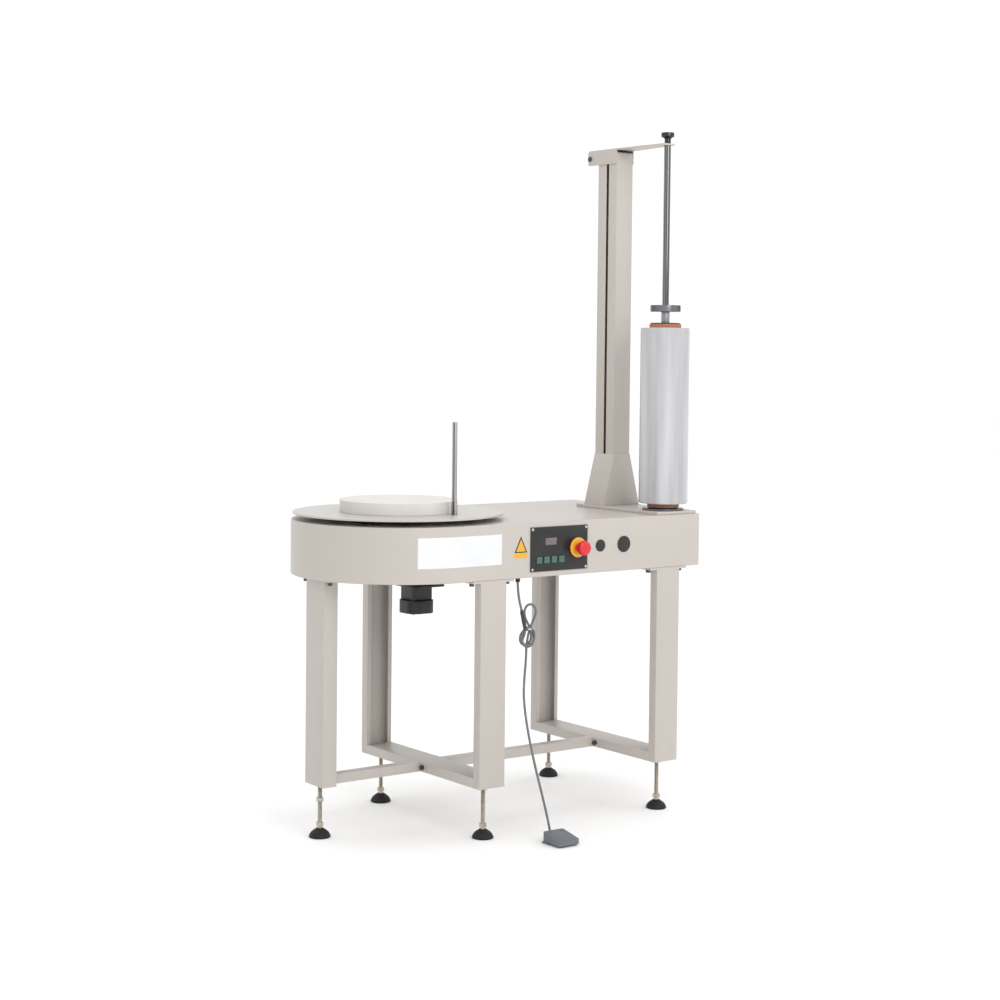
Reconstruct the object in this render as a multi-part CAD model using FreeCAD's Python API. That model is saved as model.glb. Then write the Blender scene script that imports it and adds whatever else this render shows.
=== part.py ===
import FreeCAD, Part
import math
import os

# Turntable pallet wrapper: a long table on five legs, a powered turntable at its round end, and a film
# roll on an upright spindle at its square end. Millimetres, +Z up. The sizes below are set out from the
# turntable's axis, and export() moves the finished pieces so that the origin is the bottom centre.

# ---- table ----
HALF_WIDTH = 290.0            # half the width, and the radius of the round end
TABLE_END = 835.0             # square end, measured from the turntable's axis
TABLE_BOTTOM = 690.5
TABLE_TOP = 837.5
SHEET = 2.5                   # folded sheet of the table
RETURN_FLANGE = 42.0          # inward fold along the bottom of the skirt
PLATE_X0 = 682.0              # raised plate that carries the column and the spindle
PLATE_X1 = 829.0
PLATE_Y0 = -282.0
PLATE_Y1 = 82.0
PLATE_THICK = 8.5
PLATE_TOP = TABLE_TOP + PLATE_THICK

# ---- legs, bars and feet ----
LEG_SHEET = 2.5
LEG_BOTTOM = 140.0
LEG_TOP_PLATE = 6.0
LEG_WIDTH = 82.0
LEG_DEPTH = 28.0
LEG_LIP = 12.0
LEG_FACE = HALF_WIDTH - 1.0   # outer face of the paired legs
FRAME_A_X = 112.0
FRAME_B_X = 720.0
END_LEG_FACE = -260.0         # outer face of the single leg under the round end
END_LEG_WIDTH = 90.0
END_LEG_DEPTH = 42.0
BAR_HEIGHT = 26.0
BRACE_WIDTH = 30.0
BRACE_TAB = 26.0              # bolted tab on each side of a brace's end
BRACE_WALL = 2.0
EAR = 25.0                    # how far a leg's top plate stands out at each side
EAR_DEPTH = 56.0
FOOT_Y = 250.0
FOOT_X_END = -241.0
STUD_R = 6.0
STUD_CLEARANCE = 0.1
STUD_TOP = LEG_BOTTOM + 22.0
PAD_R = 28.5
PAD_HEIGHT = 24.0
HEX_AF = 19.0                 # across the flats of the foot nuts
HEX_HEIGHT = 10.0
SLACK_NUT_Z = 96.0            # the end leg's lock nut stands part way down its stud
BOLT_R = 4.0
BOLT_CLEARANCE = 0.1
BOLT_HEAD_AF = 13.0
BOLT_HEAD = 8.0

# ---- turntable and its drive ----
DISC_R = 286.0
DISC_THICK = 5.0
DISC_TOP = 857.0
RISER_R = 159.0
RISER_HEIGHT = 33.0
RISER_WALL = 3.0
POST_X = 61.5
POST_Y = -176.0
POST_R = 6.5
POST_HEIGHT = 247.0
POST_SOCKET_R = 8.5
POST_SOCKET_HEIGHT = 36.0
HUB_FLANGE_R = 90.0
HUB_FLANGE_THICK = 8.0
SHAFT_R = 20.0
SHAFT_CLEARANCE = 0.05
HOUSING_R = 45.0
HOUSING_FLANGE_R = 80.0
HOUSING_FLANGE_THICK = 8.0
HOUSING_BOTTOM = 776.0
RUNNING_GAP = 0.3
PULLEY_Z0 = 742.0
PULLEY_HEIGHT = 24.0
DRIVEN_R = 70.0
DRIVE_R = 30.0
BELT_THICK = 4.0
BELT_HEIGHT = 20.0
MOTOR_X = DRIVEN_R + 25.0      # the motor moves out with the pulleys
MOTOR_Y = DRIVEN_R / 1.4
MOTOR_SHAFT_R = 8.0
MOTOR_SIDE = 66.0
MOTOR_CORNER = 8.0
MOTOR_CAP_SIDE = 84.0
MOTOR_CAP_CORNER = 30.0
MOTOR_CAP_Z = 569.0
MOTOR_CAP_HEIGHT = 36.0
GEARBOX_SIDE = 78.0
MOTOR_PLATE_Z = 642.0
MOTOR_PLATE_THICK = 6.0
GEARBOX_TOP = 700.0
STANDOFF_R = 6.0
GLIDE_COUNT = 3
GLIDE_TRACK_R = 190.0
GLIDE_R = 12.0

# ---- column and arm ----
COLUMN_X = 760.0              # centre line of the column and of the spindle
COLUMN_WIDTH = 60.0
COLUMN_FRONT = -30.0
COLUMN_DEPTH = 85.0
COLUMN_WALL = 2.5
COLUMN_TOP = 1874.0
COLUMN_SLOT = 11.0
BOOT_FLARE = 38.0
BOOT_HEIGHT = 150.0
BOOT_SHEET = 2.0
CAP_THICK = 2.5
HINGE_OFFSET = 36.0           # pin behind the column's rear face
HINGE_Z = COLUMN_TOP - 12.0
HINGE_LUG_WIDTH = 40.0
HINGE_PIN_R = 5.0
HINGE_CLEARANCE = 0.08
ARM_SHEET = 2.0
ARM_SIDE_GAP = 0.5
ARM_TOP = COLUMN_TOP + 12.0
ARM_FRONT = -227.0
ARM_REAR_MARGIN = 10.0
ARM_SIDE_DEPTH = 44.0
ARM_FRONT_DEPTH = 5.0             # the arm in front of the column is a flat bar
ARM_END_HALF = 21.0
PIN_HEAD_AF = 13.0
PIN_HEAD = 4.0
ARM_CORNER = 8.0

# ---- spindle, film roll, collar and knob ----
SPINDLE_Y = -217.0
ROD_R = 10.0
ROD_TOP = ARM_TOP - 6.0
ROD_CLEARANCE = 0.08
BASE_R = 58.5
BASE_THICK = 5.0
CHUCK_FLANGE_R = 42.0
CHUCK_FLANGE = 3.0
CHUCK_PLUG = 40.0
CORE_R = 45.0
CORE_BORE_R = 38.0
CORE_LENGTH = 521.0
FILM_R = 70.0
FILM_WIDTH = 500.0
PLUG_GAP = 0.15
COLLAR_R = 43.0
COLLAR_HEIGHT = 19.0
COLLAR_SLEEVE_R = 12.0
COLLAR_SLEEVE = 31.0
KNOB_R = 18.5
KNOB_HEIGHT = 13.0
KNOB_NECK_R = 9.0
KNOB_NECK = 18.0
PLUNGER_R = 5.0
PLUNGER_CLEARANCE = 0.1
PLUNGER_TIP = 12.0            # how far the plunger reaches into the rod's top
ROD_SOCKET_GAP = 0.9
ROD_SOCKET = 15.0

# ---- control panel ----
PANEL_X0 = 230.0
PANEL_WIDTH = 194.0
PANEL_Z0 = 705.0
PANEL_HEIGHT = 119.5
PANEL_THICK = 3.0
PANEL_RIM = 9.0
KEY_X0 = 258.0
KEY_PITCH = 25.2
KEY_Z = 736.0
KEY_SIZE = 18.0
KEY_GAP = 0.3
KEY_PROUD = 2.5
KEY_DEPTH = 9.0
DISPLAY_X = 298.5
DISPLAY_Z = 785.5
DISPLAY_WIDTH = 39.0
DISPLAY_HEIGHT = 20.0
DISPLAY_DEPTH = 1.5
SCREW_INSET = 6.0
SCREW_R = 4.0
SCREW_HEAD = 2.0
ESTOP_X = 390.5
ESTOP_Z = 764.0
ESTOP_RING_R = 27.0
ESTOP_RING_THICK = 3.0
ESTOP_HEAD_R = 20.0
ESTOP_HEAD = 16.0
ESTOP_NECK_R = 14.0
ESTOP_NECK = 18.0
ESTOP_STEM_R = 11.0
ESTOP_CLEARANCE = 0.1
PLUG_Z = 764.4
SMALL_PLUG_X = 471.0
SMALL_PLUG_R = 16.5
LARGE_PLUG_X = 554.5
LARGE_PLUG_R = 22.5
PLUG_FLANGE = 2.0
PLUG_WALL = 3.0
PLUG_DEPTH = 8.0
BOX_DEPTH = 60.0
BOX_RECESS = 6.0              # room for the keys and the stop stem behind the panel

# ---- foot pedal and its cord ----
PEDAL_X0 = 209.0
PEDAL_WIDTH = 68.0
PEDAL_FRONT = -457.0
PEDAL_LENGTH = 74.0
PEDAL_BASE_HEIGHT = 8.0
PEDAL_WALL = 4.0
PEDAL_REAR_HEIGHT = 31.0
PEDAL_FRONT_HEIGHT = 17.0
PEDAL_PIN_R = 3.0
PEDAL_PIN_Z = 17.0
PEDAL_PIN_INSET = 9.0
PEDAL_GAP = 0.4
PEDAL_NOSE_R = 5.5
PEDAL_SKIRT_Z = 5.0           # the tread's front wall stops above the floor by its travel
PEDAL_HEEL = 26.0
PEDAL_HEEL_HEIGHT = 6.0
PEDAL_CORNER = 7.0
DIMPLE_R = 3.5
CORD_R = 3.2
GLAND_X = 209.0
GLAND_Y = -264.0
GLAND_R = 6.0
GLAND_LENGTH = 13.0
GLAND_HOLE_R = 4.5
CONNECTOR_R = 7.0
CONNECTOR_TOP = (210.0, -281.0, 605.0)
CONNECTOR_BOTTOM = (223.0, -281.5, 551.0)
HANK_X = 240.0
HANK_Y = -270.0
HANK_Z = 555.0
HANK_WIDTH = 52.0
HANK_HEIGHT = 112.0
HANK_THICK = 12.0
CORD_UPPER = [
    (209.0, -264.0, 678.0),
    (209.4, -265.0, 658.0),
    (208.4, -270.5, 638.0),
    (207.5, -277.5, 620.0),
    CONNECTOR_TOP,
]
CORD_LOWER = [
    (235.0, -271.0, 504.0),
    (228.0, -280.0, 474.0),
    (211.0, -295.0, 424.0),
    (200.0, -307.0, 372.0),
    (200.0, -326.0, 291.0),
    (208.0, -348.0, 203.0),
    (222.0, -366.0, 118.0),
    (234.0, -372.0, 64.0),
    (238.5, -379.0, 25.0),
]

# ---- derived places ----
ORIGIN_X = (TABLE_END - HALF_WIDTH) / 2
ORIGIN_Y = (HALF_WIDTH + PEDAL_FRONT) / 2
DISC_UNDER = DISC_TOP - DISC_THICK
HUB_UNDER = DISC_UNDER - HUB_FLANGE_THICK
COLUMN_REAR = COLUMN_FRONT + COLUMN_DEPTH
HINGE_Y = COLUMN_REAR + HINGE_OFFSET
BASE_TOP = PLATE_TOP + BASE_THICK
CHUCK_BOTTOM = BASE_TOP + RUNNING_GAP
CORE_BOTTOM = CHUCK_BOTTOM + CHUCK_FLANGE
CORE_TOP = CORE_BOTTOM + CORE_LENGTH
CHUCK_TOP = CORE_TOP + CHUCK_FLANGE
FILM_BOTTOM = CORE_BOTTOM + (CORE_LENGTH - FILM_WIDTH) / 2
COLLAR_BOTTOM = CHUCK_TOP + RUNNING_GAP
FRONT = -HALF_WIDTH
PANEL_FACE = FRONT - PANEL_THICK
LEG_PLATE_Z = TABLE_BOTTOM - LEG_TOP_PLATE
STUD_HOLE_R = STUD_R + STUD_CLEARANCE


def vec(x, y, z):
    return FreeCAD.Vector(x, y, z)


def box(x0, x1, y0, y1, z0, z1):
    return Part.makeBox(x1 - x0, y1 - y0, z1 - z0, vec(x0, y0, z0))


def post(x, y, z0, z1, radius):
    return Part.makeCylinder(radius, z1 - z0, vec(x, y, z0))


def rod(start, end, radius):
    a = vec(*start)
    d = vec(*end) - a
    return Part.makeCylinder(radius, d.Length, a, d)


def ring(x, y, z0, z1, outer, inner):
    return post(x, y, z0, z1, outer).cut(post(x, y, z0, z1, inner))


def hexagon(x, y, z0, z1, across_flats):
    corner = across_flats / math.sqrt(3)
    points = []
    for i in range(7):
        a = math.radians(60 * i)
        points.append(vec(x + corner * math.cos(a), y + corner * math.sin(a), z0))
    return Part.Face(Part.makePolygon(points)).extrude(vec(0, 0, z1 - z0))


def export(name, *solids):
    shape = solids[0] if len(solids) == 1 else Part.Compound(list(solids))
    moved = shape.copy()
    moved.translate(vec(-ORIGIN_X, -ORIGIN_Y, 0))
    moved.exportStep("parts/%s.step" % name)


# ---- table ----
def stadium(inset, z0, z1):
    """The table's outline, drawn in by inset: a half circle and a square end."""
    r = HALF_WIDTH - inset
    end = TABLE_END - inset
    a = vec(0, -r, z0)
    b = vec(end, -r, z0)
    c = vec(end, r, z0)
    d = vec(0, r, z0)
    round_end = Part.Arc(d, vec(-r, 0, z0), a).toShape()
    wire = Part.Wire([Part.makeLine(a, b), Part.makeLine(b, c), Part.makeLine(c, d), round_end])
    return Part.Face(wire).extrude(vec(0, 0, z1 - z0))


def bore_y(x, z, radius):
    """A hole through the front skirt."""
    return Part.makeCylinder(radius, 4 * SHEET, vec(x, FRONT - SHEET, z), vec(0, 1, 0))


def panel_window():
    x1 = PANEL_X0 + PANEL_WIDTH - PANEL_RIM
    z1 = PANEL_Z0 + PANEL_HEIGHT - PANEL_RIM
    return box(PANEL_X0 + PANEL_RIM, x1, FRONT - 1, FRONT + 2 * SHEET, PANEL_Z0 + PANEL_RIM, z1)


def leg_bolt_places():
    places = []
    for x in (FRAME_A_X, FRAME_B_X):
        for side in (-1, 1):
            for ear in (-1, 1):
                offset = LEG_WIDTH / 2 + EAR * 0.65
                places.append((x + ear * offset, side * (HALF_WIDTH - RETURN_FLANGE / 2)))
    for ear in (-1, 1):
        places.append((END_LEG_FACE + 8, ear * (END_LEG_WIDTH / 2 + EAR * 0.65)))
    return places


def table_deck():
    deck = stadium(0, TABLE_TOP - SHEET, TABLE_TOP)
    return deck.cut(post(0, 0, TABLE_TOP - 2 * SHEET, TABLE_TOP + SHEET, HOUSING_R))


def table_skirt():
    wall = stadium(0, TABLE_BOTTOM, TABLE_TOP - SHEET)
    wall = wall.cut(stadium(SHEET, TABLE_BOTTOM + SHEET, TABLE_TOP))
    wall = wall.cut(stadium(RETURN_FLANGE, TABLE_BOTTOM - 1, TABLE_TOP))
    wall = wall.cut(panel_window())
    wall = wall.cut(bore_y(SMALL_PLUG_X, PLUG_Z, SMALL_PLUG_R - PLUG_WALL))
    wall = wall.cut(bore_y(LARGE_PLUG_X, PLUG_Z, LARGE_PLUG_R - PLUG_WALL))
    for x, y in leg_bolt_places():
        wall = wall.cut(post(x, y, TABLE_BOTTOM - 1, TABLE_BOTTOM + 2 * SHEET, BOLT_R + BOLT_CLEARANCE))
    return wall.cut(post(GLAND_X, GLAND_Y, TABLE_BOTTOM - 1, TABLE_BOTTOM + 2 * SHEET, GLAND_HOLE_R))


def deck_plate():
    plate = box(PLATE_X0, PLATE_X1, PLATE_Y0, PLATE_Y1, TABLE_TOP, PLATE_TOP)
    upright = [e for e in plate.Edges if abs(e.tangentAt(e.FirstParameter).z) > 0.9]
    return plate.makeFillet(3.0, upright)


# ---- legs, bars and braces ----
def ear_holes(shape):
    for x, y in leg_bolt_places():
        shape = shape.cut(post(x, y, LEG_PLATE_Z - 1, TABLE_BOTTOM + 1, BOLT_R + BOLT_CLEARANCE))
    return shape


def paired_leg(x, side):
    """A lipped channel, closed side out, with a bolted plate on top and a floor at the bottom."""
    x0 = x - LEG_WIDTH / 2
    x1 = x + LEG_WIDTH / 2
    outer, inner = LEG_FACE, LEG_FACE - LEG_DEPTH
    t = LEG_SHEET
    leg = box(x0, x1, inner, outer, LEG_BOTTOM, LEG_PLATE_Z)
    leg = leg.cut(box(x0 + t, x1 - t, inner + t, outer - t, LEG_BOTTOM + t, LEG_PLATE_Z))
    leg = leg.cut(box(x0 + LEG_LIP, x1 - LEG_LIP, inner, inner + t, LEG_BOTTOM + t, LEG_PLATE_Z))
    plate = box(x0 - EAR, x1 + EAR, LEG_FACE - EAR_DEPTH, LEG_FACE, LEG_PLATE_Z, TABLE_BOTTOM)
    leg = ear_holes(leg.fuse(plate)).removeSplitter()
    if side < 0:
        leg = ear_holes(leg.mirror(vec(0, 0, 0), vec(0, 1, 0)))
    return leg


def end_leg():
    """The single leg: a lipped channel that opens towards the braces."""
    half = END_LEG_WIDTH / 2
    x0 = END_LEG_FACE
    x1 = END_LEG_FACE + END_LEG_DEPTH
    t = LEG_SHEET
    leg = box(x0, x1, -half, half, LEG_BOTTOM, LEG_PLATE_Z)
    leg = leg.cut(box(x0 + t, x1 - t, t - half, half - t, LEG_BOTTOM + t, LEG_PLATE_Z))
    leg = leg.cut(box(x1 - t, x1, LEG_LIP - half, half - LEG_LIP, LEG_BOTTOM + BAR_HEIGHT, LEG_PLATE_Z))
    plate = box(x0, x0 + EAR_DEPTH, -half - EAR, half + EAR, LEG_PLATE_Z, TABLE_BOTTOM)
    leg = ear_holes(leg.fuse(plate)).removeSplitter()
    return leg.cut(post(FOOT_X_END, 0, LEG_BOTTOM - 1, LEG_BOTTOM + 2 * t, STUD_HOLE_R))


def cross_bar(x):
    """A flat tube between the two legs of a frame."""
    x0 = x - LEG_WIDTH / 2
    x1 = x + LEG_WIDTH / 2
    y = LEG_FACE - LEG_DEPTH
    t = LEG_SHEET
    top = LEG_BOTTOM + BAR_HEIGHT
    bar = box(x0, x1, -y, y, LEG_BOTTOM, top)
    bar = bar.cut(box(x0 + t, x1 - t, -y, y, LEG_BOTTOM + t, top - t))
    for side in (-1, 1):
        bar = bar.cut(post(x, side * FOOT_Y, LEG_BOTTOM - 1, LEG_BOTTOM + 2 * t, STUD_HOLE_R))
    return bar


def brace_tab_bolts(x):
    return [(x, side * (BRACE_WIDTH + BRACE_TAB) / 2, LEG_BOTTOM + BAR_HEIGHT / 2) for side in (-1, 1)]


def brace(x0, x1, tabs):
    """A box section along the centre line, with a bolted tab at each side of the ends listed."""
    half = BRACE_WIDTH / 2
    t = BRACE_WALL
    z0, z1 = LEG_BOTTOM, LEG_BOTTOM + BAR_HEIGHT
    body = box(x0, x1, -half, half, z0, z1).cut(box(x0, x1, t - half, half - t, z0 + t, z1 - t))
    for end, inward in tabs:
        tab = box(min(end, end + inward * t), max(end, end + inward * t), -half - BRACE_TAB,
                  half + BRACE_TAB, z0, z1)
        tab = tab.cut(box(end - 2 * t, end + 2 * t, t - half, half - t, z0 + t, z1 - t))
        body = body.fuse(tab)
    return body.removeSplitter()


def brace_ends():
    """Each bolted face: where it is, and the way its brace lies from it."""
    half = LEG_WIDTH / 2
    return [(FRAME_A_X - half, -1), (FRAME_A_X + half, 1), (FRAME_B_X - half, -1)]


def braces():
    near, mid, far = brace_ends()
    start = END_LEG_FACE + END_LEG_DEPTH
    left = brace(start, near[0], [near])
    right = brace(mid[0], far[0], [mid, far])
    return left, right


def frame_bolts():
    """Hexagon bolts: down through the ears into the skirt's fold, and through the braces' tabs."""
    bolts = []
    for x, y in leg_bolt_places():
        head = hexagon(x, y, LEG_PLATE_Z - BOLT_HEAD, LEG_PLATE_Z, BOLT_HEAD_AF)
        bolts.append(head.fuse(post(x, y, LEG_PLATE_Z - 1, TABLE_BOTTOM + SHEET, BOLT_R)))
    for end, away in brace_ends():
        for x, y, z in brace_tab_bolts(end):
            face = x + away * BRACE_WALL
            head = hexagon(0, 0, 0, BOLT_HEAD, BOLT_HEAD_AF)
            head.rotate(vec(0, 0, 0), vec(0, 1, 0), 90.0 * away)
            head.translate(vec(face, y, z))
            bolts.append(head)
    return bolts


# ---- levelling feet ----
def foot_places():
    places = [(FOOT_X_END, 0.0)]
    for x in (FRAME_A_X, FRAME_B_X):
        places += [(x, FOOT_Y), (x, -FOOT_Y)]
    return places


def levelling_foot(x, y):
    """A rubber pad with a domed top, and a stud with a hexagon above the pad."""
    dome = [vec(0, 0, 0), vec(PAD_R, 0, 0), vec(PAD_R, 0, PAD_HEIGHT * 0.3)]
    shoulder = vec(STUD_R * 1.6, 0, PAD_HEIGHT)
    bulge = vec(PAD_R * 0.78, 0, PAD_HEIGHT * 0.78)
    edges = [Part.makeLine(dome[0], dome[1]), Part.makeLine(dome[1], dome[2])]
    edges.append(Part.Arc(dome[2], bulge, shoulder).toShape())
    edges.append(Part.makeLine(shoulder, vec(0, 0, PAD_HEIGHT)))
    edges.append(Part.makeLine(vec(0, 0, PAD_HEIGHT), dome[0]))
    pad = Part.Face(Part.Wire(edges)).revolve(vec(0, 0, 0), vec(0, 0, 1), 360)
    pad.translate(vec(x, y, 0))
    stud = post(x, y, PAD_HEIGHT, STUD_TOP, STUD_R)
    stud = stud.fuse(hexagon(x, y, PAD_HEIGHT + 6, PAD_HEIGHT + 6 + HEX_HEIGHT, HEX_AF))
    return pad, stud


def foot_nuts():
    """A lock nut under each leg and a plain nut inside the bar or the channel above it."""
    nuts = []
    floor = LEG_BOTTOM + LEG_SHEET
    for i, (x, y) in enumerate(foot_places()):
        lock = SLACK_NUT_Z if i == 0 else LEG_BOTTOM - HEX_HEIGHT
        for z in (lock, floor):
            nut = hexagon(x, y, z, z + HEX_HEIGHT, HEX_AF)
            nuts.append(nut.cut(post(x, y, z - 1, z + HEX_HEIGHT + 1, STUD_HOLE_R)))
    return nuts


# ---- turntable ----
def load_riser():
    top = DISC_TOP + RISER_HEIGHT
    drum = post(0, 0, DISC_TOP, top, RISER_R)
    return drum.cut(post(0, 0, DISC_TOP, top - RISER_WALL, RISER_R - RISER_WALL))


def film_post():
    socket = ring(POST_X, POST_Y, DISC_TOP, DISC_TOP + POST_SOCKET_HEIGHT, POST_SOCKET_R, POST_R)
    pin = post(POST_X, POST_Y, DISC_TOP, DISC_TOP + POST_HEIGHT, POST_R)
    return socket, pin


def turntable_hub():
    """Shaft and top flange."""
    shaft = post(0, 0, PULLEY_Z0 - 4, HUB_UNDER, SHAFT_R)
    flange = post(0, 0, HUB_UNDER, DISC_UNDER, HUB_FLANGE_R)
    return shaft.fuse(flange)


def driven_pulley():
    return ring(0, 0, PULLEY_Z0, PULLEY_Z0 + PULLEY_HEIGHT, DRIVEN_R, SHAFT_R)


def bearing_housing():
    body = post(0, 0, HOUSING_BOTTOM, HUB_UNDER - RUNNING_GAP, HOUSING_R)
    under = TABLE_TOP - SHEET
    flange = post(0, 0, under - HOUSING_FLANGE_THICK, under, HOUSING_FLANGE_R)
    bore = post(0, 0, HOUSING_BOTTOM - 1, DISC_TOP, SHAFT_R + SHAFT_CLEARANCE)
    return body.fuse(flange).cut(bore)


def belt_outline(grow, z0, z1):
    """The solid inside a belt's run round both pulleys, grown by grow."""
    big, small = DRIVEN_R + grow, DRIVE_R + grow
    span = math.hypot(MOTOR_X, MOTOR_Y)
    lean = math.asin((DRIVEN_R - DRIVE_R) / span)
    along = math.atan2(MOTOR_Y, MOTOR_X)
    corners = []
    for side in (1, -1):
        normal = along + side * (math.pi / 2 - lean)
        n = vec(math.cos(normal), math.sin(normal), 0)
        first = n * big + vec(0, 0, z0)
        second = vec(MOTOR_X, MOTOR_Y, z0) + n * small
        corners += [first, second] if side > 0 else [second, first]
    corners.append(corners[0])
    body = Part.Face(Part.makePolygon(corners)).extrude(vec(0, 0, z1 - z0))
    return body.fuse([post(0, 0, z0, z1, big), post(MOTOR_X, MOTOR_Y, z0, z1, small)])


def drive_belt():
    z0 = PULLEY_Z0 + (PULLEY_HEIGHT - BELT_HEIGHT) / 2
    outer = belt_outline(RUNNING_GAP + BELT_THICK, z0, z0 + BELT_HEIGHT)
    return outer.cut(belt_outline(RUNNING_GAP, z0, z0 + BELT_HEIGHT))


def drive_pulley():
    shaft = post(MOTOR_X, MOTOR_Y, GEARBOX_TOP + RUNNING_GAP, PULLEY_Z0 + PULLEY_HEIGHT + 4, MOTOR_SHAFT_R)
    wheel = post(MOTOR_X, MOTOR_Y, PULLEY_Z0, PULLEY_Z0 + PULLEY_HEIGHT, DRIVE_R)
    return shaft.fuse(wheel)


def standoff_places():
    return [(MOTOR_X + 48, MOTOR_Y - 42), (MOTOR_X + 48, MOTOR_Y + 42), (MOTOR_X - 33, MOTOR_Y + 52)]


def motor_block(side, corner, z0, z1):
    """A square block on the motor's axis with rounded upright edges."""
    half = side / 2
    block = box(MOTOR_X - half, MOTOR_X + half, MOTOR_Y - half, MOTOR_Y + half, z0, z1)
    upright = [e for e in block.Edges if abs(e.tangentAt(e.FirstParameter).z) > 0.9]
    return block.makeFillet(corner, upright)


def motor_bracket():
    """A plate hung from the deck on three posts."""
    places = standoff_places()
    xs = [x for x, y in places]
    ys = [y for x, y in places]
    edge = STANDOFF_R + 4
    plate = box(min(xs) - edge, max(xs) + edge, min(ys) - edge, max(ys) + edge, MOTOR_PLATE_Z,
                MOTOR_PLATE_Z + MOTOR_PLATE_THICK)
    plate = plate.cut(motor_block(MOTOR_SIDE, MOTOR_CORNER, MOTOR_PLATE_Z - 1, MOTOR_PLATE_Z + 20))
    legs = [post(x, y, MOTOR_PLATE_Z + MOTOR_PLATE_THICK, TABLE_TOP - SHEET, STANDOFF_R) for x, y in places]
    return [plate] + legs


def gearmotor():
    """A square motor through the plate, its gearbox on top of the plate, and the wider end cap below."""
    body = motor_block(MOTOR_SIDE, MOTOR_CORNER, MOTOR_CAP_Z + MOTOR_CAP_HEIGHT, GEARBOX_TOP)
    box_z = MOTOR_PLATE_Z + MOTOR_PLATE_THICK
    body = body.fuse(motor_block(GEARBOX_SIDE, MOTOR_CORNER, box_z, GEARBOX_TOP)).removeSplitter()
    cap = motor_block(MOTOR_CAP_SIDE, MOTOR_CAP_CORNER, MOTOR_CAP_Z, MOTOR_CAP_Z + MOTOR_CAP_HEIGHT)
    return body, cap


def glide_pads():
    """Low-friction pads on the deck that catch the disc when a load leans on its edge."""
    pads = []
    for i in range(GLIDE_COUNT):
        angle = math.radians(90.0 + i * 360.0 / GLIDE_COUNT)
        x = GLIDE_TRACK_R * math.cos(angle)
        y = GLIDE_TRACK_R * math.sin(angle)
        pads.append(post(x, y, TABLE_TOP, DISC_UNDER - RUNNING_GAP, GLIDE_R))
    return pads


# ---- column and arm ----
def column_post():
    """A folded upright whose two front edges leave a slot along the side that faces the turntable."""
    x0 = COLUMN_X - COLUMN_WIDTH / 2
    x1 = COLUMN_X + COLUMN_WIDTH / 2
    t = COLUMN_WALL
    top = COLUMN_TOP - CAP_THICK
    tube = box(x0, x1, COLUMN_FRONT, COLUMN_REAR, PLATE_TOP, top)
    tube = tube.cut(box(x0 + t, x1 - t, COLUMN_FRONT + t, COLUMN_REAR - t, PLATE_TOP - 1, top + 1))
    middle = (COLUMN_FRONT + COLUMN_REAR) / 2
    slot = box(x0 - 1, x0 + 2 * t, middle - COLUMN_SLOT / 2, middle + COLUMN_SLOT / 2, PLATE_TOP - 1, top + 1)
    return tube.cut(slot)


def trapezium(half_bottom, half_top, y0, y1, z0, z1):
    corners = [
        vec(COLUMN_X - half_bottom, y0, z0),
        vec(COLUMN_X + half_bottom, y0, z0),
        vec(COLUMN_X + half_top, y0, z1),
        vec(COLUMN_X - half_top, y0, z1),
    ]
    return Part.Face(Part.makePolygon(corners + corners[:1])).extrude(vec(0, y1 - y0, 0))


def column_boot():
    """The flared foot of the column: flat front and back, sloping sides, open below."""
    half = COLUMN_WIDTH / 2
    wide = half + BOOT_FLARE
    t = BOOT_SHEET
    z0, z1 = PLATE_TOP, PLATE_TOP + BOOT_HEIGHT
    outer = trapezium(wide, half, COLUMN_FRONT - t, COLUMN_REAR + t, z0, z1)
    slope = BOOT_FLARE / BOOT_HEIGHT
    side = t * math.hypot(1, slope)
    lower = z1 - side / slope
    inner = trapezium(wide - side, half, COLUMN_FRONT, COLUMN_REAR, z0, lower)
    shaft = box(COLUMN_X - half, COLUMN_X + half, COLUMN_FRONT, COLUMN_REAR, z0 - 1, z1 + 1)
    return outer.cut(inner).cut(shaft)


def column_cap():
    """Closes the column and carries the arm's hinge lug behind it."""
    half = COLUMN_WIDTH / 2
    under = COLUMN_TOP - CAP_THICK
    plate = box(COLUMN_X - half, COLUMN_X + half, COLUMN_FRONT, COLUMN_REAR, under, COLUMN_TOP)
    lug_half = HINGE_LUG_WIDTH / 2
    reach = HINGE_PIN_R + 5
    lug = box(COLUMN_X - lug_half, COLUMN_X + lug_half, COLUMN_REAR, HINGE_Y, HINGE_Z - reach, COLUMN_TOP)
    nose = rod((COLUMN_X - lug_half, HINGE_Y, HINGE_Z), (COLUMN_X + lug_half, HINGE_Y, HINGE_Z), reach)
    bore = rod((COLUMN_X - half, HINGE_Y, HINGE_Z), (COLUMN_X + half, HINGE_Y, HINGE_Z), HINGE_PIN_R)
    return plate.fuse([lug, nose]).cut(bore).removeSplitter()


def arm_half_width():
    return COLUMN_WIDTH / 2 + ARM_SIDE_GAP + ARM_SHEET


def arm_pin():
    """The hinge bolt: its shank, and a hexagon head and nut that stand clear of the arm's sides."""
    reach = arm_half_width() + RUNNING_GAP
    pin = rod((COLUMN_X - reach, HINGE_Y, HINGE_Z), (COLUMN_X + reach, HINGE_Y, HINGE_Z), HINGE_PIN_R)
    for side in (-1, 1):
        head = hexagon(0, 0, 0, PIN_HEAD, PIN_HEAD_AF)
        head.rotate(vec(0, 0, 0), vec(0, 1, 0), 90.0 * side)
        head.translate(vec(COLUMN_X + side * reach, HINGE_Y, HINGE_Z))
        pin = pin.fuse(head)
    return pin


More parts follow.
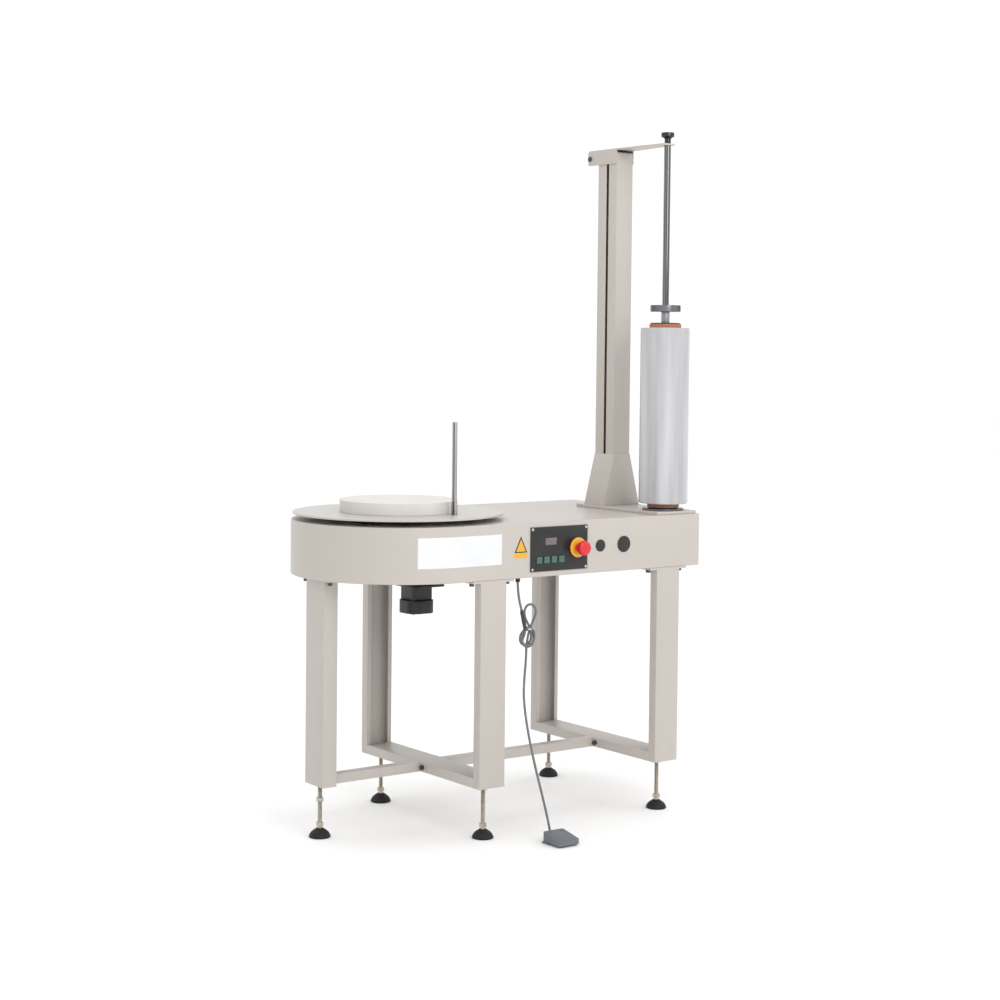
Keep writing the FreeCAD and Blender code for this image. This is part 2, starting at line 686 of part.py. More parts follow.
def arm_saddle():
    """The channel over the column, with rounded rear corners."""
    half = arm_half_width()
    x0 = COLUMN_X - half
    rear = HINGE_Y + ARM_REAR_MARGIN
    low = ARM_TOP - ARM_SIDE_DEPTH
    r = ARM_CORNER
    s = r * (1 - math.sqrt(0.5))
    front = COLUMN_FRONT
    upper = Part.Arc(vec(x0, rear - r, ARM_TOP), vec(x0, rear - s, ARM_TOP - s), vec(x0, rear, ARM_TOP - r))
    lower = Part.Arc(vec(x0, rear, low + r), vec(x0, rear - s, low + s), vec(x0, rear - r, low))
    outline = [
        Part.makeLine(vec(x0, front, low), vec(x0, front, ARM_TOP)),
        Part.makeLine(vec(x0, front, ARM_TOP), vec(x0, rear - r, ARM_TOP)),
        upper.toShape(),
        Part.makeLine(vec(x0, rear, ARM_TOP - r), vec(x0, rear, low + r)),
        lower.toShape(),
        Part.makeLine(vec(x0, rear - r, low), vec(x0, front, low)),
    ]
    saddle = Part.Face(Part.Wire(outline)).extrude(vec(2 * half, 0, 0))
    inside = half - ARM_SHEET
    hollow = box(COLUMN_X - inside, COLUMN_X + inside, front - 1, rear + 1, low - 1, ARM_TOP - ARM_SHEET)
    return saddle.cut(hollow)


def swing_arm():
    """The saddle, and a flat bar that narrows towards the spindle."""
    half = arm_half_width()
    under = ARM_TOP - ARM_FRONT_DEPTH
    corners = [
        vec(COLUMN_X - half, COLUMN_FRONT, under),
        vec(COLUMN_X + half, COLUMN_FRONT, under),
        vec(COLUMN_X + ARM_END_HALF, ARM_FRONT, under),
        vec(COLUMN_X - ARM_END_HALF, ARM_FRONT, under),
    ]
    bar = Part.Face(Part.makePolygon(corners + corners[:1])).extrude(vec(0, 0, ARM_FRONT_DEPTH))
    upright = [e for e in bar.Edges if abs(e.tangentAt(e.FirstParameter).z) > 0.9]
    ends = [e for e in upright if e.BoundBox.YMax < ARM_FRONT + 1]
    bar = bar.makeFillet(ARM_CORNER, ends)
    arm = arm_saddle().fuse(bar).removeSplitter()
    arm = arm.cut(post(COLUMN_X, SPINDLE_Y, under - 1, ARM_TOP + 1, PLUNGER_R + PLUNGER_CLEARANCE))
    return arm.cut(rod((COLUMN_X - 2 * half, HINGE_Y, HINGE_Z), (COLUMN_X + 2 * half, HINGE_Y, HINGE_Z),
                       HINGE_PIN_R + HINGE_CLEARANCE))


# ---- spindle and film roll ----
def spindle_rod():
    body = post(COLUMN_X, SPINDLE_Y, PLATE_TOP, ROD_TOP, ROD_R)
    return body.cut(post(COLUMN_X, SPINDLE_Y, ROD_TOP - ROD_SOCKET, ROD_TOP + 1, PLUNGER_R + ROD_SOCKET_GAP))


def spindle_base():
    return ring(COLUMN_X, SPINDLE_Y, PLATE_TOP, BASE_TOP, BASE_R, ROD_R)


def core_chucks():
    """A flanged plug in each end of the core."""
    chucks = []
    bore = ROD_R + ROD_CLEARANCE
    plug = CORE_BORE_R - PLUG_GAP
    for face, way in ((CHUCK_BOTTOM, 1), (CHUCK_TOP, -1)):
        seat = face + way * CHUCK_FLANGE
        end = seat + way * CHUCK_PLUG
        flange = ring(COLUMN_X, SPINDLE_Y, min(face, seat), max(face, seat), CHUCK_FLANGE_R, bore)
        body = ring(COLUMN_X, SPINDLE_Y, min(seat, end), max(seat, end), plug, bore)
        chucks.append(flange.fuse(body).removeSplitter())
    return chucks


def roll_core():
    return ring(COLUMN_X, SPINDLE_Y, CORE_BOTTOM, CORE_TOP, CORE_R, CORE_BORE_R)


def film_roll():
    return ring(COLUMN_X, SPINDLE_Y, FILM_BOTTOM, FILM_BOTTOM + FILM_WIDTH, FILM_R, CORE_R)


def tension_collar():
    """A knurled disc on a sleeve that bears on the upper chuck."""
    z0 = COLLAR_BOTTOM
    z1 = z0 + COLLAR_SLEEVE
    sleeve = post(COLUMN_X, SPINDLE_Y, z0, z1, COLLAR_SLEEVE_R)
    disc = post(COLUMN_X, SPINDLE_Y, z1, z1 + COLLAR_HEIGHT, COLLAR_R)
    bore = post(COLUMN_X, SPINDLE_Y, z0 - 1, z1 + COLLAR_HEIGHT + 1, ROD_R + ROD_CLEARANCE)
    return sleeve.fuse(disc).cut(bore)


def spindle_knob():
    """A knob on a plunger that locates the rod's top under the arm."""
    neck_top = ARM_TOP + KNOB_NECK
    neck = post(COLUMN_X, SPINDLE_Y, ARM_TOP, neck_top, KNOB_NECK_R)
    head = post(COLUMN_X, SPINDLE_Y, neck_top, neck_top + KNOB_HEIGHT, KNOB_R)
    shank = post(COLUMN_X, SPINDLE_Y, ROD_TOP - PLUNGER_TIP, ARM_TOP, PLUNGER_R)
    return neck.fuse([head, shank])


# ---- control panel ----
def front_disc(x, z, y0, y1, radius):
    return rod((x, y0, z), (x, y1, z), radius)


def key_place(index):
    return KEY_X0 + index * KEY_PITCH


def square_key(index, size, y0, y1):
    x = key_place(index)
    half = size / 2
    return box(x - half, x + half, y0, y1, KEY_Z - half, KEY_Z + half)


def control_panel():
    x1 = PANEL_X0 + PANEL_WIDTH
    plate = box(PANEL_X0, x1, PANEL_FACE, FRONT, PANEL_Z0, PANEL_Z0 + PANEL_HEIGHT)
    for i in range(4):
        plate = plate.cut(square_key(i, KEY_SIZE + 2 * KEY_GAP, PANEL_FACE - 1, FRONT + 1))
    plate = plate.cut(front_disc(ESTOP_X, ESTOP_Z, PANEL_FACE - 1, FRONT + 1, ESTOP_STEM_R + ESTOP_CLEARANCE))
    half = DISPLAY_WIDTH / 2
    tall = DISPLAY_HEIGHT / 2
    window = box(DISPLAY_X - half, DISPLAY_X + half, PANEL_FACE, PANEL_FACE + DISPLAY_DEPTH,
                 DISPLAY_Z - tall, DISPLAY_Z + tall)
    return plate.cut(window)


def panel_screws():
    screws = []
    for x in (PANEL_X0 + SCREW_INSET, PANEL_X0 + PANEL_WIDTH - SCREW_INSET):
        for z in (PANEL_Z0 + SCREW_INSET, PANEL_Z0 + PANEL_HEIGHT - SCREW_INSET):
            screws.append(front_disc(x, z, PANEL_FACE - SCREW_HEAD, PANEL_FACE, SCREW_R))
    return screws


def panel_key(index):
    return square_key(index, KEY_SIZE, PANEL_FACE - KEY_PROUD, PANEL_FACE - KEY_PROUD + KEY_DEPTH)


def estop_ring():
    outer = front_disc(ESTOP_X, ESTOP_Z, PANEL_FACE - ESTOP_RING_THICK, PANEL_FACE, ESTOP_RING_R)
    hole = front_disc(ESTOP_X, ESTOP_Z, PANEL_FACE - 9, FRONT, ESTOP_STEM_R + ESTOP_CLEARANCE)
    return outer.cut(hole)


def estop_button():
    """Mushroom head, neck and stem. The neck stands clear of the ring by the travel."""
    ring_face = PANEL_FACE - ESTOP_RING_THICK
    head_back = ring_face - ESTOP_NECK
    head = front_disc(ESTOP_X, ESTOP_Z, head_back - ESTOP_HEAD, head_back, ESTOP_HEAD_R)
    front_edge = [e for e in head.Edges if e.Closed and e.BoundBox.YMax < head_back - 1]
    head = head.makeFillet(6.0, front_edge)
    neck = front_disc(ESTOP_X, ESTOP_Z, head_back, ring_face - 6.0, ESTOP_NECK_R)
    stem = front_disc(ESTOP_X, ESTOP_Z, head_back, FRONT, ESTOP_STEM_R)
    return head.fuse([neck, stem])


def hole_plugs():
    """Two round blanking plugs that fill spare holes in the skirt."""
    plugs = []
    for x, r in ((SMALL_PLUG_X, SMALL_PLUG_R), (LARGE_PLUG_X, LARGE_PLUG_R)):
        flange = front_disc(x, PLUG_Z, FRONT - PLUG_FLANGE, FRONT, r)
        body = front_disc(x, PLUG_Z, FRONT, FRONT + PLUG_DEPTH, r - PLUG_WALL)
        plugs.append(flange.fuse(body))
    return plugs


def controller_box():
    """The closed box behind the panel that holds the electronics."""
    x1 = PANEL_X0 + PANEL_WIDTH - PANEL_RIM
    z1 = PANEL_Z0 + PANEL_HEIGHT - PANEL_RIM
    y0 = FRONT + BOX_RECESS
    body = box(PANEL_X0 + PANEL_RIM, x1, y0, y0 + BOX_DEPTH, PANEL_Z0 + PANEL_RIM, z1)
    rim = box(PANEL_X0 + PANEL_RIM, x1, FRONT, y0, PANEL_Z0 + PANEL_RIM, z1)
    t = SHEET
    rim = rim.cut(box(PANEL_X0 + PANEL_RIM + t, x1 - t, FRONT, y0, PANEL_Z0 + PANEL_RIM + t, z1 - t))
    return body.fuse(rim).removeSplitter()


# ---- foot pedal ----
def pedal_wedge(x0, x1, y0, y1, lows, highs):
    """A wedge that rises towards the rear. lows and highs are its front and rear heights."""
    corners = [vec(x0, y0, lows[0]), vec(x0, y1, lows[1]), vec(x0, y1, highs[1]), vec(x0, y0, highs[0])]
    return Part.Face(Part.makePolygon(corners + corners[:1])).extrude(vec(x1 - x0, 0, 0))


def pedal_pin_y():
    return PEDAL_FRONT + PEDAL_LENGTH - PEDAL_PIN_INSET


def pedal_base():
    """A tray inside the tread's walls, a wider heel, a lug at the rear, the pin and the cord's boot."""
    x0, x1 = PEDAL_X0, PEDAL_X0 + PEDAL_WIDTH
    rear = PEDAL_FRONT + PEDAL_LENGTH
    inner0 = x0 + PEDAL_WALL + PEDAL_GAP
    inner1 = x1 - PEDAL_WALL - PEDAL_GAP
    tray = box(inner0, inner1, PEDAL_FRONT + PEDAL_WALL + 3, rear, 0, PEDAL_BASE_HEIGHT)
    heel = box(x0, x1, rear - PEDAL_HEEL, rear, 0, PEDAL_HEEL_HEIGHT)
    y = pedal_pin_y()
    lug = box(inner0, inner1, y - 6, rear - 1, PEDAL_BASE_HEIGHT, PEDAL_PIN_Z)
    nose = rod((inner0, y, PEDAL_PIN_Z), (inner1, y, PEDAL_PIN_Z), PEDAL_NOSE_R)
    pin = rod((x0, y, PEDAL_PIN_Z), (x1, y, PEDAL_PIN_Z), PEDAL_PIN_R)
    end_x, end_y, end_z = CORD_LOWER[-1]
    boot = rod((end_x, rear - 3, PEDAL_BASE_HEIGHT + 2), (end_x, end_y + 1, end_z + 2), CORD_R + 1.5)
    return tray.fuse([heel, lug, nose, pin, boot]).removeSplitter()


def pedal_tread():
    """A hollow wedge with rounded corners that tips on the pin, with a dimple near its right rear."""
    x0, x1 = PEDAL_X0, PEDAL_X0 + PEDAL_WIDTH
    rear = PEDAL_FRONT + PEDAL_LENGTH - 1
    front = PEDAL_FRONT
    t = PEDAL_WALL
    lows = (PEDAL_SKIRT_Z, PEDAL_BASE_HEIGHT + PEDAL_GAP)
    outer = pedal_wedge(x0, x1, front, rear, lows, (PEDAL_FRONT_HEIGHT, PEDAL_REAR_HEIGHT))
    upright = [e for e in outer.Edges if abs(e.tangentAt(e.FirstParameter).z) > 0.99]
    outer = outer.makeFillet(PEDAL_CORNER, upright)
    skin = PEDAL_WALL * 0.6
    highs = (PEDAL_FRONT_HEIGHT - skin, PEDAL_REAR_HEIGHT - skin)
    inner = pedal_wedge(x0 + t, x1 - t, front + t, rear + t, (0, 0), highs)
    tread = outer.cut(inner)
    y = pedal_pin_y()
    tread = tread.cut(rod((x0 - 1, y, PEDAL_PIN_Z), (x1 + 1, y, PEDAL_PIN_Z), PEDAL_PIN_R + ROD_CLEARANCE))
    slope = (PEDAL_REAR_HEIGHT - PEDAL_FRONT_HEIGHT) / (rear - front)
    dimple_y = y - DIMPLE_R
    surface = PEDAL_FRONT_HEIGHT + slope * (dimple_y - front)
    return tread.cut(post(x1 - 15, dimple_y, surface - 1.2, surface + 5, DIMPLE_R))


# ---- cord ----
def cord_path(points):
    """Straight runs joined by tangent arcs, each as large as its two runs allow."""
    pts = [vec(*p) for p in points]
    edges = []
    start = pts[0]
    for before, corner, after in zip(pts, pts[1:], pts[2:]):
        u = (before - corner).normalize()
        w = (after - corner).normalize()
        turn = math.pi - u.getAngle(w)
        short = min((before - corner).Length, (after - corner).Length)
        reach = 0.45 * short
        radius = reach / math.tan(turn / 2)
        a = corner + u * reach
        b = corner + w * reach
        centre = corner + (u + w).normalize() * (radius / math.cos(turn / 2))
        middle = centre + (corner - centre).normalize() * radius
        edges.append(Part.makeLine(start, a))
        edges.append(Part.Arc(a, middle, b).toShape())
        start = b
        print("cord radius %.1f, turn %.1f" % (radius, math.degrees(turn)))
    edges.append(Part.makeLine(start, pts[-1]))
    return Part.Wire(edges)


def cord_tube(points):
    path = cord_path(points)
    way = vec(*points[1]) - vec(*points[0])
    section = Part.Wire(Part.makeCircle(CORD_R, vec(*points[0]), way))
    tube = path.makePipeShell([section], True, False)
    ratio = tube.Volume / (math.pi * CORD_R ** 2 * path.Length)
    print("cord run %.1f, volume ratio %.4f, valid %s" % (path.Length, ratio, tube.isValid()))
    return tube


def cord_gland():
    nut = hexagon(GLAND_X, GLAND_Y, TABLE_BOTTOM - GLAND_LENGTH + 1, TABLE_BOTTOM, 2 * GLAND_R)
    stem_r = GLAND_HOLE_R - BOLT_CLEARANCE
    return nut.fuse(post(GLAND_X, GLAND_Y, TABLE_BOTTOM, TABLE_BOTTOM + SHEET + 5, stem_r))


def cord_hank():
    """The outer shape of the tied spare cord: a flat slab with round ends."""
    r = HANK_WIDTH / 2
    y0 = HANK_Y - HANK_THICK / 2
    y1 = HANK_Y + HANK_THICK / 2
    straight = HANK_HEIGHT / 2 - r
    slab = box(HANK_X - r, HANK_X + r, y0, y1, HANK_Z - straight, HANK_Z + straight)
    ends = [front_disc(HANK_X, HANK_Z + s * straight, y0, y1, r) for s in (-1, 1)]
    return slab.fuse(ends).removeSplitter()


def main():
    os.makedirs("parts", exist_ok=True)
    export("table_deck", table_deck())
    export("table_skirt", table_skirt())
    export("deck_plate", deck_plate())
    export("leg_end", end_leg())
    for name, x in (("a", FRAME_A_X), ("b", FRAME_B_X)):
        export("leg_%s_rear" % name, paired_leg(x, 1))
        export("leg_%s_front" % name, paired_leg(x, -1))
        export("bar_%s" % name, cross_bar(x))
    left, right = braces()
    export("brace_left", left)
    export("brace_right", right)
    export("frame_bolts", *frame_bolts())
    export("foot_nuts", *foot_nuts())
    for i, (x, y) in enumerate(foot_places(), 1):
        export("levelling_foot_%d" % i, *levelling_foot(x, y))
    export("turntable_disc", post(0, 0, DISC_UNDER, DISC_TOP, DISC_R))
    export("load_riser", load_riser())
    export("film_post", *film_post())
    export("turntable_hub", turntable_hub())
    export("driven_pulley", driven_pulley())
    export("bearing_housing", bearing_housing())
    export("drive_belt", drive_belt())
    export("motor_bracket", *motor_bracket())
    export("gearmotor", *gearmotor())
    export("drive_pulley", drive_pulley())
    export("glide_pads", *glide_pads())
    export("column_post", column_post())
    export("column_boot", column_boot())
    export("column_cap", column_cap())
    export("arm_pin", arm_pin())
    export("swing_arm", swing_arm())
    export("spindle_knob", spindle_knob())
    export("spindle_rod", spindle_rod())
    export("spindle_base", spindle_base())
    export("tension_collar", tension_collar())
    export("core_chucks", *core_chucks())
    export("roll_core", roll_core())
    export("film_roll", film_roll())
    export("control_panel", control_panel())
    export("panel_screws", *panel_screws())
    for i in range(4):
        export("panel_key_%d" % (i + 1), panel_key(i))
    export("estop_ring", estop_ring())
    export("estop_button", estop_button())
    export("hole_plugs", *hole_plugs())
    export("controller_box", controller_box())
    export("pedal_base", pedal_base())
    export("pedal_tread", pedal_tread())
    export("cord_gland", cord_gland())
    export("cord_upper", cord_tube(CORD_UPPER))
    export("cord_connector", rod(CONNECTOR_TOP, CONNECTOR_BOTTOM, CONNECTOR_R))
    export("cord_hank", cord_hank())
    export("cord_lower", cord_tube(CORD_LOWER))


main()
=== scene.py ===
"""A table-top turntable wrapper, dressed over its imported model."""
import logging
import math
from dataclasses import dataclass, field
from enum import Enum
from functools import lru_cache
from typing import Callable, Iterable, Optional, Sequence, Union

import bmesh
import bpy
from mathutils import Matrix, Vector


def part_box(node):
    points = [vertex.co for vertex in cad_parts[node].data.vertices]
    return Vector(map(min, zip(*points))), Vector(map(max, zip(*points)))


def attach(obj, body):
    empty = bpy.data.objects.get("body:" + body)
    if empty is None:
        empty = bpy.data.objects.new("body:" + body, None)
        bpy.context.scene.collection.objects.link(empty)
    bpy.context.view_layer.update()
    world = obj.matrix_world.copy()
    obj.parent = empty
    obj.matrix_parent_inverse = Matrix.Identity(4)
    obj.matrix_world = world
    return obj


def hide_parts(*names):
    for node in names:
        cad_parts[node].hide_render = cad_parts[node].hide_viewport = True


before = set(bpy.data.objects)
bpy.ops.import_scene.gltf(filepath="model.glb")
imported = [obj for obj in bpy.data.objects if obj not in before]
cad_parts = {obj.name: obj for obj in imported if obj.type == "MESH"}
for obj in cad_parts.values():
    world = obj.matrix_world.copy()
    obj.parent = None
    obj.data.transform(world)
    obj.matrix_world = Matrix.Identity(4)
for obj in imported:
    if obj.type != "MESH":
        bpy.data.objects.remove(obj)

LOG = logging.getLogger("wrapper")
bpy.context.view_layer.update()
MM = 0.001
Number = Union[float, "Value"]
Colour = tuple[float, float, float]
Pair = tuple[float, float]


# ---- camera ----
@dataclass(frozen=True)
class Viewpoint:
    """Where the camera stands and how it is turned, in metres and degrees."""

    place: tuple[float, float, float] = (-3.1431, -4.2795, 1.2942)
    yaw: float = 36.34
    pitch: float = -2.056
    roll: float = 0.587
    lens: float = 69.39
    shift: float = -0.08

    def make(self) -> bpy.types.Object:
        """Makes the camera, gives it to the scene and returns it."""
        data = bpy.data.cameras.new("viewpoint")
        data.sensor_width = 36.0
        data.lens = self.lens
        data.shift_y = self.shift
        data.clip_end = 60.0
        camera = bpy.data.objects.new("viewpoint", data)
        bpy.context.scene.collection.objects.link(camera)
        turn = Matrix.Rotation(-math.radians(self.yaw), 4, "Z")
        turn @= Matrix.Rotation(math.radians(90.0 + self.pitch), 4, "X")
        turn @= Matrix.Rotation(math.radians(self.roll), 4, "Z")
        camera.matrix_world = Matrix.Translation(Vector(self.place)) @ turn
        bpy.context.scene.camera = camera
        return camera


# ---- shader maths ----
class Value:
    """A socket whose arithmetic writes its own Math nodes."""

    def __init__(self, bench: "Bench", socket: bpy.types.NodeSocket) -> None:
        """Keeps the bench that it belongs to and its socket."""
        self.bench = bench
        self.socket = socket

    def _math(self, operation: str, other: Number) -> "Value":
        """One Math node of this value and another."""
        return self.bench.node("ShaderNodeMath", {"operation": operation}, {0: self, 1: other})

    def __add__(self, other: Number) -> "Value":
        """self + other."""
        return self._math("ADD", other)

    __radd__ = __add__

    def __mul__(self, other: Number) -> "Value":
        """self * other."""
        return self._math("MULTIPLY", other)

    def __sub__(self, other: Number) -> "Value":
        """self - other."""
        return self._math("SUBTRACT", other)


class Bench:
    """One material under construction."""

    def __init__(self, name: str) -> None:
        """Starts a material with only its surface shader."""
        self.material = bpy.data.materials.new(name)
        self.material.use_nodes = True
        self.tree = self.material.node_tree
        self.shader = self.tree.nodes["Principled BSDF"]

    def node(self, kind: str, settings: dict, inputs: dict, output: Union[int, str] = 0) -> Value:
        """Adds a node.

        Args:
            kind: the node's type.
            settings: its properties, set first. "stops" holds a ramp's (position, colour) pairs.
            inputs: values or links by socket.
            output: which output is wanted.

        Returns:
            The wrapped output.
        """
        made = self.tree.nodes.new(kind)
        for key, setting in settings.items():
            if key != "stops":
                setattr(made, key, setting)
                continue
            ramp = made.color_ramp.elements
            while len(ramp) < len(setting):
                ramp.new(0.5)
            for stop, (position, colour) in zip(ramp, setting):
                stop.position = position
                stop.color = (*colour, 1.0)
        for key, given in inputs.items():
            if isinstance(given, Value):
                self.tree.links.new(given.socket, made.inputs[key])
            else:
                made.inputs[key].default_value = given
        return Value(self, made.outputs[output])

    def place(self, stretch: Colour = (1.0, 1.0, 1.0)) -> Value:
        """Object coordinates, stretched."""
        spot = self.node("ShaderNodeTexCoord", {}, {}, "Object")
        return self.node("ShaderNodeMapping", {}, {"Vector": spot, "Scale": stretch})

    def noise(self, scale: float, detail: float = 3.0, stretch: Colour = (1.0, 1.0, 1.0)) -> Value:
        """Fractal noise from 0 to 1."""
        spot = self.place(stretch)
        return self.node("ShaderNodeTexNoise", {}, {"Vector": spot, "Scale": scale, "Detail": detail})

    def between(self, amount: Number, low: float, high: float) -> Value:
        """Maps low..high to 0..1 and clips the rest."""
        return self.node("ShaderNodeMapRange", {"clamp": True}, {0: amount, 1: low, 2: high})

    def blend(self, amount: Number, first: Union[Colour, Value], second: Union[Colour, Value]) -> Value:
        """Mixes two colours."""
        pair = [c if isinstance(c, Value) else (*c, 1.0) for c in (first, second)]
        settings = {"data_type": "RGBA", "clamp_factor": True}
        return self.node("ShaderNodeMix", settings, {0: amount, 6: pair[0], 7: pair[1]}, 2)

    def feed(self, socket: str, given: Union[float, Colour, Value]) -> None:
        """Sets or links one of the surface shader's sockets."""
        if isinstance(given, Value):
            self.tree.links.new(given.socket, self.shader.inputs[socket])
        elif isinstance(given, tuple):
            self.shader.inputs[socket].default_value = (*given, 1.0)
        else:
            self.shader.inputs[socket].default_value = given

    def raise_by(self, height: Value, depth: float, strength: float = 1.0) -> None:
        """Feeds a bump of that height, in metres, to the shader."""
        inputs = {"Height": height, "Distance": depth, "Strength": strength}
        self.feed("Normal", self.node("ShaderNodeBump", {}, inputs))


class Look(Enum):
    """How a surface is finished."""

    POWDER = "powder coat"
    BRUSHED = "brushed metal"
    CHROME = "polished metal"
    ZINC = "zinc plate"
    RUBBER = "rubber"
    MOULDED = "moulded plastic"
    CARD = "wound card"
    FILM = "wound film"
    GLASS = "display window"
    # a polished bar whose dark and bright bands are painted reflection
    REFLECTION_BANDED = "polished bar"


def tint(colour: Colour, by: float) -> Colour:
    """A colour made lighter or darker."""
    return tuple(min(1.0, c * by) for c in colour)


@dataclass(frozen=True)
class Finish:
    """A finish: its look, its colour, and the record's slot that it belongs to."""

    name: str
    look: Look
    colour: Colour
    slot: str
    roughness: float = 0.5
    coat: float = 0.0

    def material(self) -> bpy.types.Material:
        """Returns: the material, made once."""
        return made_material(self)

    def dress(self, bench: Bench) -> None:
        """Writes this finish's nodes."""
        bench.feed("Coat Weight", self.coat)
        bench.feed("Coat Roughness", 0.12)
        {
            Look.POWDER: self._powder,
            Look.BRUSHED: self._brushed,
            Look.CHROME: self._chrome,
            Look.ZINC: self._zinc,
            Look.RUBBER: self._rubber,
            Look.MOULDED: self._moulded,
            Look.CARD: self._card,
            Look.FILM: self._film,
            Look.GLASS: self._glass,
            Look.REFLECTION_BANDED: self._painted_reflection_bands,
        }[self.look](bench)

    def _powder(self, bench: Bench) -> None:
        """Sprayed paint: orange peel, a little cloudiness and faint handling marks."""
        cloud = bench.noise(2.6, 4.0)
        marks = bench.between(bench.noise(38.0, 6.0, (1.0, 1.0, 0.22)), 0.62, 0.80)
        shade = bench.blend(bench.between(cloud, 0.3, 0.7), tint(self.colour, 0.965), tint(self.colour, 1.02))
        bench.feed("Base Color", bench.blend(marks * 0.16, shade, tint(self.colour, 0.72)))
        bench.feed("Roughness", self.roughness + (cloud - 0.5) * 0.10 + marks * 0.08)
        peel = bench.noise(430.0, 2.0) + bench.noise(1300.0, 1.0) * 0.35
        bench.raise_by(peel, 0.00007, 0.55)

    def _brushed(self, bench: Bench) -> None:
        """Turned metal with fine rings."""
        rings = bench.noise(60.0, 4.0, (1.0, 1.0, 28.0))
        bench.feed("Metallic", 1.0)
        bench.feed("Base Color", bench.blend(rings, tint(self.colour, 0.86), self.colour))
        bench.feed("Roughness", self.roughness + (rings - 0.5) * 0.16)
        bench.raise_by(rings, 0.00004, 0.5)

    def _chrome(self, bench: Bench) -> None:
        """Plated metal: bright, with faint wipe marks."""
        wipe = bench.noise(24.0, 5.0, (1.0, 1.0, 0.12))
        bench.feed("Metallic", 1.0)
        worn = bench.between(wipe, 0.45, 0.75)
        bench.feed("Base Color", bench.blend(worn, self.colour, tint(self.colour, 0.88)))
        bench.feed("Roughness", self.roughness + bench.between(wipe, 0.5, 0.8) * 0.10)
        bench.raise_by(bench.noise(900.0, 1.0), 0.00001, 0.3)

    def _painted_reflection_bands(self, bench: Bench) -> None:
        """A polished bar: dark and bright bands run its whole length, a painted reflection of its
        surroundings.
        """
        band = bench.between(bench.noise(115.0, 0.5, (1.0, 1.0, 0.0)), 0.44, 0.58)
        bench.feed("Metallic", 1.0)
        # the dark and bright bands are painted reflection, laid into the base colour
        bench.feed("Base Color", bench.blend(band, tint(self.colour, 0.16), self.colour))
        bench.feed("Roughness", self.roughness + band * 0.06)
        bench.raise_by(bench.noise(900.0, 1.0), 0.00001, 0.3)

    def _zinc(self, bench: Bench) -> None:
        """Plated fastener: mottled and slightly dull."""
        cells = bench.node("ShaderNodeTexVoronoi", {}, {"Vector": bench.place(), "Scale": 240.0}, "Color")
        grey = bench.node("ShaderNodeSeparateColor", {}, {"Color": cells})
        bench.feed("Metallic", 1.0)
        bench.feed("Base Color", bench.blend(grey, tint(self.colour, 0.80), tint(self.colour, 1.08)))
        bench.feed("Roughness", self.roughness + (grey - 0.5) * 0.14)
        bench.raise_by(bench.noise(700.0, 2.0), 0.00003, 0.5)

    def _rubber(self, bench: Bench) -> None:
        """Rubber: matt, with dust in its pores."""
        dust = bench.between(bench.noise(34.0, 6.0), 0.48, 0.75)
        bench.feed("Base Color", bench.blend(dust * 0.4, self.colour, tint(self.colour, 2.0)))
        bench.feed("Roughness", self.roughness + dust * 0.14)
        bench.raise_by(bench.noise(900.0, 3.0), 0.00010, 0.6)

    def _moulded(self, bench: Bench) -> None:
        """Moulded plastic with a fine spark-eroded grain."""
        cloud = bench.noise(14.0, 3.0)
        bench.feed("Base Color", bench.blend(cloud, tint(self.colour, 0.90), tint(self.colour, 1.08)))
        bench.feed("Roughness", self.roughness + (cloud - 0.5) * 0.12)
        bench.raise_by(bench.noise(1500.0, 2.0), 0.00005, 0.5)

    def _card(self, bench: Bench) -> None:
        """Wound kraft card: fibres, and the edges of its plies."""
        fibre = bench.noise(320.0, 5.0, (1.0, 1.0, 0.25))
        ply = bench.noise(46.0, 2.0, (1.0, 1.0, 6.0))
        tone = bench.blend(fibre, tint(self.colour, 0.78), tint(self.colour, 1.16))
        edges = bench.between(ply, 0.5, 0.8) * 0.4
        bench.feed("Base Color", bench.blend(edges, tone, tint(self.colour, 0.62)))
        bench.feed("Roughness", self.roughness + fibre * 0.10)
        bench.raise_by(fibre + ply, 0.00018, 0.6)

    def _film(self, bench: Bench) -> None:
        """Many turns of clear film: milky, glossy, with long wrinkles up and down the roll."""
        streak = bench.noise(26.0, 5.0, (1.0, 1.0, 0.05))
        fold = bench.noise(9.0, 4.0, (1.0, 1.0, 0.16))
        band = bench.noise(14.0, 3.0, (0.05, 0.05, 1.0))
        milk = bench.between(streak, 0.32, 0.70)
        tone = bench.blend(milk, tint(self.colour, 0.68), tint(self.colour, 1.14))
        girdle = bench.between(band, 0.55, 0.75) * 0.35
        bench.feed("Base Color", bench.blend(girdle, tone, tint(self.colour, 0.88)))
        bench.feed("Roughness", self.roughness + (streak - 0.5) * 0.18)
        bench.raise_by(streak + fold * 1.4 + band * 0.5, 0.0016, 0.55)

    def _glass(self, bench: Bench) -> None:
        """A smoked display window, unlit."""
        haze = bench.noise(60.0, 2.0)
        bench.feed("Base Color", bench.blend(haze, tint(self.colour, 0.92), tint(self.colour, 1.06)))
        bench.feed("Roughness", self.roughness + haze * 0.05)


@lru_cache(maxsize=None)
def made_material(finish: Finish) -> bpy.types.Material:
    """Makes a finish's material once."""
    bench = Bench(finish.name)
    finish.dress(bench)
    return bench.material


